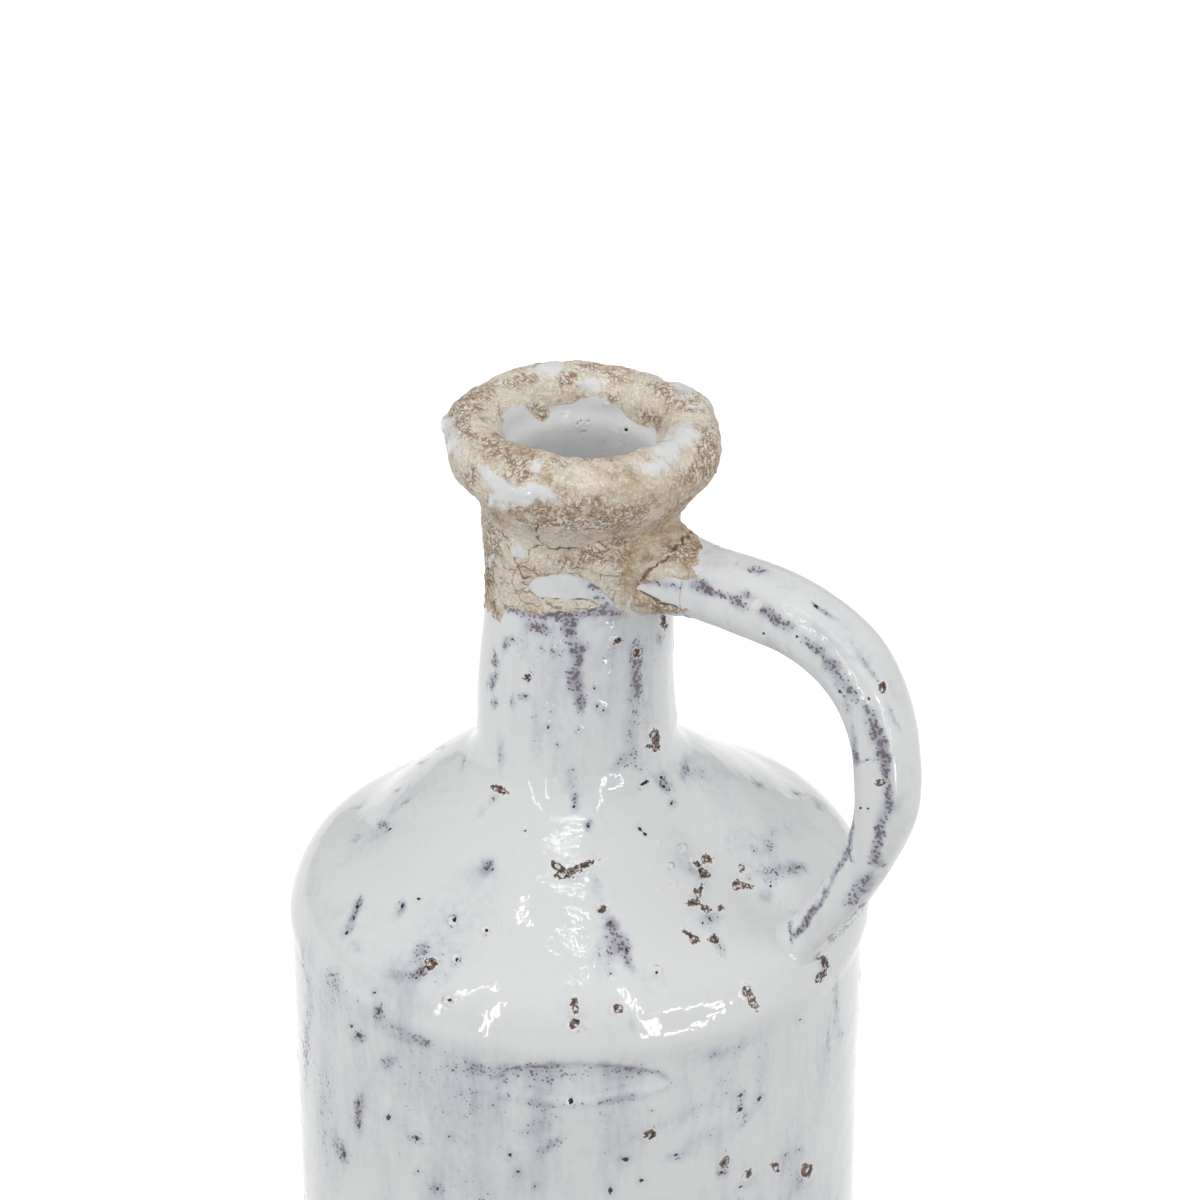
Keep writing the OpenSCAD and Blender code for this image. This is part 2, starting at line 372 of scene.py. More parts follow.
glaze = {
    "white": (0.785, 0.798, 0.80, 1),           # thick glaze
    "haze": (0.50, 0.535, 0.60, 1),             # thin glaze over clay
    "violet": (0.31, 0.275, 0.34, 1),           # thinnest glaze, round the dots
    "dot": (0.115, 0.075, 0.085, 1),            # clay that breaks through in dots
    "dotBlue": (0.15, 0.125, 0.155, 1),
    "pinholeShade": (0.02, 0.017, 0.02, 1),              # pinholes, near black: painted shade in each small hole
    "pit": (0.21, 0.125, 0.085, 1),             # bare clay in the pits
    # painted shade in the pits' depths and along their brinks
    "pitShade": (0.045, 0.028, 0.024, 1),
    "shellAndGlint": (0.86, 0.845, 0.825, 1),           # torn edges, collars and bubbles, whiter than the glaze: partly pale glaze, partly a painted highlight
    "craze": (0.45, 0.45, 0.47, 1),
    "gloss": 0.055,                             # roughness of sound glaze
    "ripple": 0.00022,                          # m, bump of the glaze's skin
}
crust = {
    "cream": (0.90, 0.82, 0.69, 1),
    "pink": (0.85, 0.70, 0.565, 1),
    "tan": (0.54, 0.385, 0.225, 1),
    "brown": (0.29, 0.175, 0.09, 1),
    "pale": (0.89, 0.82, 0.70, 1),
    "granule": (0.93, 0.885, 0.825, 1),
    "crack": (0.17, 0.10, 0.06, 1),
    "rough": 0.78,
    "grain": 0.00045,                           # m, bump of the crust's grain
}


# Glaze colour: white, hazed by thinness, with dots where it is thinnest, then pinholes and pits with
# painted shade and painted highlights in them, and crazing
def glazeLayers(t):
    runs = t.stretched((1, 1, 0.28))
    mottle = t.cloud(75, 3, runs)
    fine = t.cloud(430, 3)
    ragged = t.cloud(1150, 2) - 0.5
    thin = t.field("thin")
    brushed = t.cloud(520, 3, t.stretched((1, 1, 0.2)))
    uneven = thin + (mottle - 0.5) * 0.9 + (fine - 0.5) * 0.3 + (brushed - 0.5) * 0.4
    haze = t.step(uneven, 0.06, 0.85)
    colour = t.mix(haze * 0.85, glaze["white"], glaze["haze"])
    colour = t.mix(t.step(uneven, 0.5, 1.1) * 0.75, colour, glaze["violet"])
    grains = t.cellDistance(820)
    thinnest = thin + (fine - 0.5) + ragged * 0.55 - grains
    dots = t.step(thinnest, 0.28, 0.42) * (1 - t.field("calm"))
    dotColour = t.mix(t.step(t.cloud(240, 1), 0.42, 0.58), glaze["dot"], glaze["dotBlue"])
    colour = t.mix(dots * 0.82, colour, dotColour)
    shaken = t.shaken(60, 0.012)
    lines = 1 - t.step(t.cellDistance(40, "DISTANCE_TO_EDGE", shaken), 0.001, 0.006)
    craze = lines * t.step(t.cloud(30, 1), 0.5, 0.6)
    colour = t.mix(craze * 0.16, colour, glaze["craze"])
    bubble = t.field("bubble") + ragged * 0.9
    ring = t.step(bubble, -0.5, -0.1) * (1 - t.step(bubble, 0.1, 0.5)) * t.step(fine, 0.5, 0.66)
    colour = t.mix(ring * 0.5, colour, glaze["dot"])
    # the bubbles' pale centres: partly pale glaze, partly a painted highlight
    colour = t.mix(t.step(bubble, -0.2, 0.6) * 0.7, colour, glaze["shellAndGlint"])
    # Pits: a pale collar on the raised lip, partly a painted highlight; inside, brown clay mottled with
    # painted shade and painted glints; painted shade along the brink
    pit = t.field("pit") + 0.14 + (fine - 0.5) * 1.1 + ragged * 1.6
    collar = t.step(pit, -1.0, -0.4) * (1 - t.step(pit, -0.25, 0.0))
    colour = t.mix(collar * 0.6, colour, glaze["shellAndGlint"])
    inPit = t.step(pit, -0.06, 0.10)
    brinkShade = t.step(pit, -0.28, -0.08) * (1 - t.step(pit, 0.08, 0.3))
    torn = t.cloud(700, 3)
    clay = t.mix(t.step(torn + pit * 0.1, 0.44, 0.53), glaze["pitShade"], glaze["pit"])
    clay = t.mix(t.step(torn, 0.53, 0.60) * 0.85, clay, glaze["shellAndGlint"])
    colour = t.mix(brinkShade * 0.75, t.mix(inPit, colour, clay), glaze["pitShade"])
    # Pinholes: painted near-black shade in each small hole
    inSpeck = t.step(t.field("speck") + (fine - 0.5) * 0.3 + ragged * 0.75, -0.06, 0.14)
    colour = t.mix(inSpeck, colour, glaze["pinholeShade"])
    rough = glaze["gloss"] + dots * 0.3 + inPit * 0.55 + haze * 0.05
    lift = t.cloud(150, 2) + t.cloud(360, 1) * 0.2 + ragged * 0.03 - dots * 0.35 - inPit * 0.9
    return colour, rough, lift


# Sound white glaze for the body and the shoulder
def whiteGlaze():
    t = Tree("white_glaze")
    colour, rough, lift = glazeLayers(t)
    skin = t.bump(lift, glaze["ripple"])
    return t.finish({"Base Color": colour, "Roughness": rough, "Normal": skin, "IOR": 1.52})


# Crust over glaze: cream and rosy ground, tan washes, pale grains, fine brown nets and pepper,
# flakes and cracks, with islands where the glaze shows
def crustedGlaze():
    t = Tree("crusted_glaze")
    glazeColour, glazeRough, glazeLift = glazeLayers(t)
    big = t.cloud(60, 3)
    mid = t.cloud(210, 4)
    small = t.cloud(820, 3, None, 0.62)
    tiny = t.cloud(1500, 2)
    stain = t.field("stain")
    pale = t.field("pale")
    colour = t.mix(t.step(big * 0.6 + mid * 0.4, 0.46, 0.62), crust["cream"], crust["pink"])
    tanned = t.field("tanned") - stain * 0.5 - pale * 0.5
    wash = t.step(tanned + (mid - 0.5) * 2.2 + (big - 0.5) * 1.2, -0.3, 1.05)
    colour = t.mix(wash * 0.85, colour, crust["tan"])
    colour = t.mix(t.step(pale + (mid - 0.5) * 0.9, 0.3, 0.8) * 0.75, colour, crust["pale"])
    shaken = t.shaken(650, 0.0014)
    each = t.add("ShaderNodeTexVoronoi", {"feature": "F1"}, {"Vector": shaken, "Scale": 780.0}, "Color")
    dirt = t.step(stain * 0.85 + (mid - 0.5) * 1.6 - pale * 0.45, -0.1, 1.05)
    colour = t.mix(t.step(each, 0.42, 0.6) * (0.22 + dirt * 0.75), colour, crust["granule"])
    colour = t.mix(t.step(0.5 - each, 0.02, 0.25) * dirt * 0.25, colour, crust["tan"])
    net = 1 - t.step(t.cellDistance(780, "DISTANCE_TO_EDGE", shaken) + (tiny - 0.5) * 0.3, 0.0, 0.16)
    lines = net * (0.14 + dirt * 0.2)
    colour = t.mix(lines, colour, crust["brown"])
    curl = t.cloud(540, 3, shaken) - 0.5
    squiggle = 1 - t.step(curl * curl, 0.0003, 0.0036)
    colour = t.mix(squiggle * t.step(dirt + (big - 0.5) * 1.2, -0.1, 0.5) * 0.8, colour, crust["brown"])
    pepper = t.step(small * 0.6 + tiny * 0.4 + dirt * 0.04, 0.56, 0.62)
    colour = t.mix(pepper * (0.16 + dirt * 0.34), colour, crust["brown"])
    flakes = 1 - t.step(t.cellDistance(125, "DISTANCE_TO_EDGE", shaken), 0.006, 0.03)
    flakes = flakes * t.field("flaky") * t.step(mid, 0.42, 0.56)
    colour = t.mix(flakes * 0.6, colour, crust["crack"])
    inCrack = t.step(t.field("crack") + (small - 0.5) * 0.35, -0.12, 0.08)
    colour = t.mix(inCrack * 0.8, colour, crust["crack"])
    cover = t.step(t.field("crust") + (t.cloud(520, 3) - 0.5) * 0.9, -0.12, 0.16)
    island = t.step(t.field("island") + (t.cloud(300, 3) - 0.5) * 2.2 + (small - 0.5) * 1.6, -1.4, 1.1)
    bare = cover * (1 - island)
    colour = t.mix(bare, glazeColour, colour)
    rough = glazeRough * (1 - bare) + bare * (crust["rough"] - pale * 0.12)
    grit = small * 1.2 + mid * 0.8 - pepper * 0.3 - lines * 0.7
    grit = grit - squiggle * 0.4 - flakes * 0.6 - inCrack
    lift = glazeLift * (1 - bare) + bare * grit
    skin = t.bump(lift, crust["grain"])
    return t.finish({"Base Color": colour, "Roughness": rough, "Normal": skin, "IOR": 1.5})


foot = {
    "clay": (0.46, 0.235, 0.145, 1),
    "dark": (0.30, 0.15, 0.095, 1),
    "pale": (0.56, 0.36, 0.26, 1),
    "rough": 0.86,
    "grain": 0.0004,
}


# Bare fired clay: red-brown, clouded, with dark grog, pale rubbed patches and turning grooves
def bareTerracotta():
    t = Tree("bare_terracotta")
    cloudy = t.cloud(38, 4)
    grog = t.step(t.cellDistance(330), 0.16, 0.30)
    small = t.cloud(900, 4)
    colour = t.mix(t.step(cloudy, 0.35, 0.68), foot["clay"], foot["dark"])
    colour = t.mix(t.step(t.cloud(120, 4), 0.52, 0.72) * 0.7, colour, foot["pale"])
    colour = t.mix((1 - grog) * 0.7, colour, foot["dark"])
    rough = foot["rough"] + (small - 0.5) * 0.15
    skin = t.bump(small + grog * 0.5 + t.field("groove"), foot["grain"])
    return t.finish({"Base Color": colour, "Roughness": rough, "Normal": skin})


whiteGlazeFinish = whiteGlaze()
crustedFinish = crustedGlaze()
terracottaFinish = bareTerracotta()


jug = {
    "ringDrop": 4.0,         # the seam lies this far below the shoulder's ring
    "edgeR": 25.0,           # rounding of the shoulder's edge
    "slope": 37.0,           # degrees, the shoulder
    "coilR": 16.4,           # hollow at the foot of the neck
    "neckFootR": 30.5,
    "waist": 2.2,            # the neck draws in by this
    "lipR": 8.5,
    "mouthR": 22.0,
    "flare": 7.5,            # height of the throat's flare
    "wallT": 8.0,
    "lapT": 4.0,
    "lapH": 6.0,
    "slip": 0.2,             # gap in a joint
    "spigotT": 5.0,
    "seatT": 10.0,
    "rimLap": 12.0,
    "soften": 0.8,           # mm, rounds off the outline's corners
    "ringSoften": 2.6,       # mm, the same at the shoulder's ring
    "ringReach": 9.0,        # mm above and below the ring
    "coilEnd": 198.0,        # degrees round the coil's hollow, where the neck takes over
    "step": 0.2,             # mm between the outline's points
    "frontShare": 0.36,      # how much closer the columns stand on the camera's side
}
slabHigh = boxMm("base_slab")[1]
wallLow, wallHigh = boxMm("body_wall")
domeHigh = boxMm("shoulder_dome")[1]
neckLow, neckHigh = boxMm("neck_tube")
rimLow, rimHigh = boxMm("rim_collar")
footR, footZ = slabHigh[0], wallLow[2]
seamZ, seatZ, rimZ, topZ = wallHigh[2], domeHigh[2], rimLow[2], rimHigh[2]
bodyR, rimR, neckTopR = domeHigh[0], rimHigh[0], neckHigh[0]
wallInR = footR - jug["wallT"]
slopeA = math.radians(jug["slope"])
edgeC = np.array([bodyR - jug["edgeR"], seamZ + jug["ringDrop"]])
seatR = jug["neckFootR"] + jug["coilR"] * (1 - math.sin(slopeA))
coilC = np.array([jug["neckFootR"] + jug["coilR"], seatZ + jug["coilR"] * math.cos(slopeA)])
lipC = np.array([rimR - jug["lipR"], topZ - jug["lipR"]])


# Arc: centre plus radius times the cosine and sine of evenly spaced angles
def arcPoints(centre, radius, a0, a1, count=40):
    a = np.radians(np.linspace(a0, a1, count))
    return np.stack([centre[0] + radius * np.cos(a), centre[1] + radius * np.sin(a)], 1)


# Cubic curve: four points weighed by (1-t)^3, 3(1-t)^2 t, 3(1-t)t^2 and t^3
def cubic(points, t):
    p = np.asarray(points, float)
    t = np.asarray(t, float)[..., None]
    return (1 - t) ** 3 * p[0] + 3 * (1 - t) ** 2 * t * p[1] + 3 * (1 - t) * t * t * p[2] + t ** 3 * p[3]


# Neck's outline: a straight run between its two radii, drawn in by half a sine
neckRun = np.linspace(0, 1, 60)
neckLine = np.stack([jug["neckFootR"] + (neckTopR - jug["neckFootR"]) * neckRun
                     - jug["waist"] * np.sin(np.pi * neckRun), coilC[1] + (rimZ - coilC[1]) * neckRun], 1)
flankSize = np.array([rimR - neckTopR, lipC[1] - rimZ])
flankLine = cubic([(neckTopR + a * flankSize[0], rimZ + b * flankSize[1])
                   for a, b in [(0, 0), (0.22, 0.25), (1, 0.46), (1, 1)]], np.linspace(0, 1, 40))
throatTop = lipC[0] - jug["lipR"]
throatZ = lipC[1] - jug["flare"]
throatLine = cubic([(throatTop, lipC[1]), (throatTop, lipC[1] - jug["flare"] / 2),
                    (jug["mouthR"], throatZ + jug["flare"] / 2), (jug["mouthR"], throatZ)],
                   np.linspace(0, 1, 20))
corners = np.concatenate([
    [(footR, footZ), (wallHigh[0], seamZ)],
    arcPoints(edgeC, jug["edgeR"], 0, 90 - jug["slope"]),
    arcPoints(coilC, jug["coilR"], 270 - jug["slope"], 180),
    neckLine, flankLine, arcPoints(lipC, jug["lipR"], 0, 180), throatLine,
    [(jug["mouthR"], rimZ - 8)]])


# Outline by length: points every step, then each replaced by the bell-weighted mean of its neighbours
def outlineByLength(points, soften):
    ahead = np.append(np.hypot(*np.diff(points, axis=0).T) > 1e-6, True)
    points = points[ahead]
    run = np.concatenate([[0], np.cumsum(np.hypot(*np.diff(points, axis=0).T))])
    s = np.arange(0, run[-1], jug["step"])
    line = np.stack([np.interp(s, run, points[:, k]) for k in range(2)], 1)
    reach = int(4 * soften / jug["step"])
    bell = np.exp(-0.5 * (np.arange(-reach, reach + 1) * jug["step"] / soften) ** 2)
    bell /= bell.sum()
    wide = np.pad(line, ((reach, reach), (0, 0)), "reflect", reflect_type="odd")
    return s, np.stack([np.convolve(wide[:, k], bell, "valid") for k in range(2)], 1)


skinS, skinLine = outlineByLength(corners, jug["soften"])
ringShare = np.exp(-((skinLine[:, 1] - seamZ - jug["ringDrop"]) / jug["ringReach"]) ** 2)[:, None]
skinLine = skinLine + ringShare * (outlineByLength(corners, jug["ringSoften"])[1] - skinLine)
skinWay = np.gradient(skinLine, jug["step"], axis=0)
skinWay /= np.linalg.norm(skinWay, axis=1, keepdims=True)


# Length along the outline at which it comes nearest to a point
def lengthAt(r, z):
    return skinS[np.argmin(np.hypot(skinLine[:, 0] - r, skinLine[:, 1] - z))]


coilEndA = math.radians(jug["coilEnd"])
coilTop = coilC + jug["coilR"] * np.array([math.cos(coilEndA), math.sin(coilEndA)])
sSeam, sSeat = lengthAt(wallHigh[0], seamZ), lengthAt(seatR, seatZ)
sCoil, sRim = lengthAt(*coilTop), lengthAt(neckTopR, rimZ)
sThroat = lengthAt(jug["mouthR"], rimZ + jug["rimLap"])
sLip = lengthAt(lipC[0], topZ)

handMade = {
    "wobble": (0.5, 75.0),         # mm of unevenness over mm of width, on the body
    "turning": (0.045, 11.0),      # mm of throwing rings, mm apart
    "neckRuns": (0.28, (6, 6, 40)),      # mm of upright runs on the neck, over mm in x, y and z
    # Set to the photo's right, by height: mm, mm
    "lean": [(0, 0), (30, 0), (120, -0.9), (205, -0.9), (240, -0.1), (262, -0.3), (276, -0.75),
             (292, -1.1), (300, -0.8), (308, -0.2), (320, 0.3), (335, 0.8), (345, 1.0), (354, 1.5),
             (362, 1.2), (390, 1.2)],
    # Radius more than the outline's, by height: mm, mm
    "girth": [(0, 0), (60, 0), (140, 0.4), (205, 0.4), (240, 0), (270, 0.1), (280, 0.4), (292, 0.8),
              (306, 0.8), (316, 0.3), (326, -0.5), (338, -1.0), (346, -1.5), (352, -2.4), (357, -2.0),
              (362, -0.6), (370, 0), (390, 0)],
    "even": 3.0,                   # mm, rounds off both tables
    # Swelling of the shoulder: mm, at degrees round from the handle, mm past the seam, mm wide
    "shoulderSwell": (2.6, 46.0, 20.0, 16.0),
    # Long dips: side, mm deep, mm before the neck's coil, mm wide
    "dips": [(1, 0.3, 19.0, 12.0), (-1, 1.8, 42.0, 14.0)],
    # Dents: degrees from the front, mm past the seat, mm deep, degrees wide, mm wide
    "dents": [(-137, -57.0, 0.9, 15.0, 9.0), (-66, 101.0, 3.0, 17.0, 4.5), (62, 100.0, 1.2, 15.0, 5.0),
              (-88, 88.0, -1.0, 20.0, 6.0)],
    "rimWave": (0.75, 17.0),       # mm of unevenness over mm of width, on the rim
    "rimTilt": 0.8,                # mm up on the left
    # Height of the rim's top: degrees from the front, mm
    "rimHeight": [(-180, 0.9), (-170, 1.3), (-159, 2.1), (-145, 1.6), (-120, 0.2), (90, 0), (100, 0.9),
                  (112, 1.5), (127, 0.4), (140, -1.4), (150, -1.5), (165, -0.2), (180, 0.8)],
}


# Smooth table: straight runs between pairs, then each point the bell-weighted mean of its neighbours
def smoothTable(pairs):
    z = np.arange(-40, 440, 0.5)
    line = np.interp(z, *np.array(pairs, float).T)
    bell = np.exp(-0.5 * (np.arange(-40, 41) * 0.5 / handMade["even"]) ** 2)
    return z, np.convolve(np.pad(line, 40, "edge"), bell / bell.sum(), "valid")


leanLine = smoothTable(handMade["lean"])
girthLine = smoothTable(handMade["girth"])


# Sideways set of the hand-made jug at a height
def leanOf(z):
    return np.interp(z, *leanLine)


# Lift of the hand-made skin along its normal: noise, a sine of the height for throwing rings,
# and bell curves of the angle and the length for the swelling, the dips and the dents
def handLift(p, theta, s):
    onBody = 1 - ease(s, sSeat - 20, sCoil)
    onRim = ease(s, sRim - 3, sRim + 4)
    z = p[..., 2]
    amount, width = handMade["wobble"]
    h = amount * layered(p, width, 3, 3) * (0.4 + 0.6 * onBody) * ease(z, footZ, footZ + 12)
    h *= 1 - ease(s, sLip + 10, sThroat)
    amount, apart = handMade["turning"]
    h += amount * np.sin(2 * np.pi * z / apart + 2.5 * noise(p, 40, 5)) * onBody
    amount, degrees, past, width = handMade["shoulderSwell"]
    toSwell = ease(np.cos(theta - math.radians(degrees)), 0.1, 1)
    h += amount * toSwell * np.exp(-((s - sSeam - past) / width) ** 2)
    for side, amount, before, width in handMade["dips"]:
        toSide = ease(side * np.sin(theta - frontA), 0, 0.6)
        h -= amount * toSide * np.exp(-((s - sSeat + before) / width) ** 2)
    for turn, past, deep, wide, tall in handMade["dents"]:
        away = np.degrees(np.angle(np.exp(1j * (theta - frontA - math.radians(turn)))))
        h -= deep * np.exp(-(away / wide) ** 2 - ((s - sSeat - past) / tall) ** 2)
    amount, width = handMade["rimWave"]
    h += onRim * (1 - ease(s, sLip + 16, sThroat)) * amount * layered(p, width, 11, 2)
    amount, width = handMade["neckRuns"]
    h += amount * noise(p, width, 8) * ease(s, sCoil, sCoil + 15) * (1 - onRim)
    return h


# The jug's outside: the outline at length s turned to angle theta, with its girth changed,
# then lifted along its normal, leant, and tilted at the rim
def skinPoint(theta, s):
    r, z = np.interp(s, skinS, skinLine[:, 0]), np.interp(s, skinS, skinLine[:, 1])
    wr, wz = np.interp(s, skinS, skinWay[:, 0]), np.interp(s, skinS, skinWay[:, 1])
    r = r + np.interp(z, *girthLine) * (1 - ease(s, sLip - 8, sLip))
    ring = np.stack([np.cos(theta), np.sin(theta)], -1)
    p = np.concatenate([ring * r[..., None], z[..., None]], -1)
    out = np.concatenate([ring * wz[..., None], -wr[..., None]], -1)
    p = p + handLift(p, theta, s)[..., None] * out + leanOf(z)[..., None] * viewRight
    turn = np.degrees(np.angle(np.exp(1j * (theta - frontA))))
    onTop = ease(z, 356, 374) * (1 - ease(s, sLip + 3, sLip + 14))
    p[..., 2] += np.interp(turn, *np.array(handMade["rimHeight"]).T) * onTop
    tilt = handMade["rimTilt"] * (p @ viewRight) / rimR
    p[..., 2] -= tilt * ease(z, 350, 372) * (1 - ease(s, sLip + 8, sThroat))
    return p


# Normals of a grid: the cross product of its steps round the columns and along the rows
def gridNormals(p):
    n = np.cross(np.roll(p, -1, 1) - np.roll(p, 1, 1), np.gradient(p, axis=0))
    return n / np.maximum(np.linalg.norm(n, axis=-1, keepdims=True), 1e-9)


# Turned piece: outside rows from the skin, lifted by its looks, then the plain rows of its joint and inside
def turnedPiece(name, s0, s1, form, hidden, looks, material, blank):
    dense, cols = form["dense"], form["cols"]
    t = np.linspace(0, 1, form["rows"])
    run = (1 - dense) * t + dense * (1 - (1 - t) ** 2)
    s = s0 + (s1 - s0) * run
    s = np.concatenate([[s[0] - 0.5], s, [s[-1] + 0.5]])     # one row past each end, for the normals
    phi = np.linspace(-np.pi, np.pi, cols, endpoint=False)
    theta = phi - jug["frontShare"] * np.sin(phi - frontA)
    theta, s = np.meshgrid(theta, s)
    p = skinPoint(theta, s)
    lift, fields = looks(p, gridNormals(p), theta, s)
    p = p + lift[..., None] * gridNormals(p)
    normals = gridNormals(p)[1:-1]
    p = p[1:-1]
    ring = np.stack([np.cos(theta[0]), np.sin(theta[0])], -1)
    inner = np.array([np.concatenate([ring * r, np.full((cols, 1), z)], 1) for r, z in hidden])
    inner += leanOf(inner[..., 2])[..., None] * viewRight
    whole = np.concatenate([p, inner])
    normals = np.concatenate([normals, np.zeros_like(inner)])
    for key in blank:
        value = fields.get(key, np.full(theta.shape, blank[key]))[1:-1]
        fields[key] = np.concatenate([value, np.full(inner.shape[:2], blank[key])])
    return gridMesh(name, whole, fields, material, True, normals)


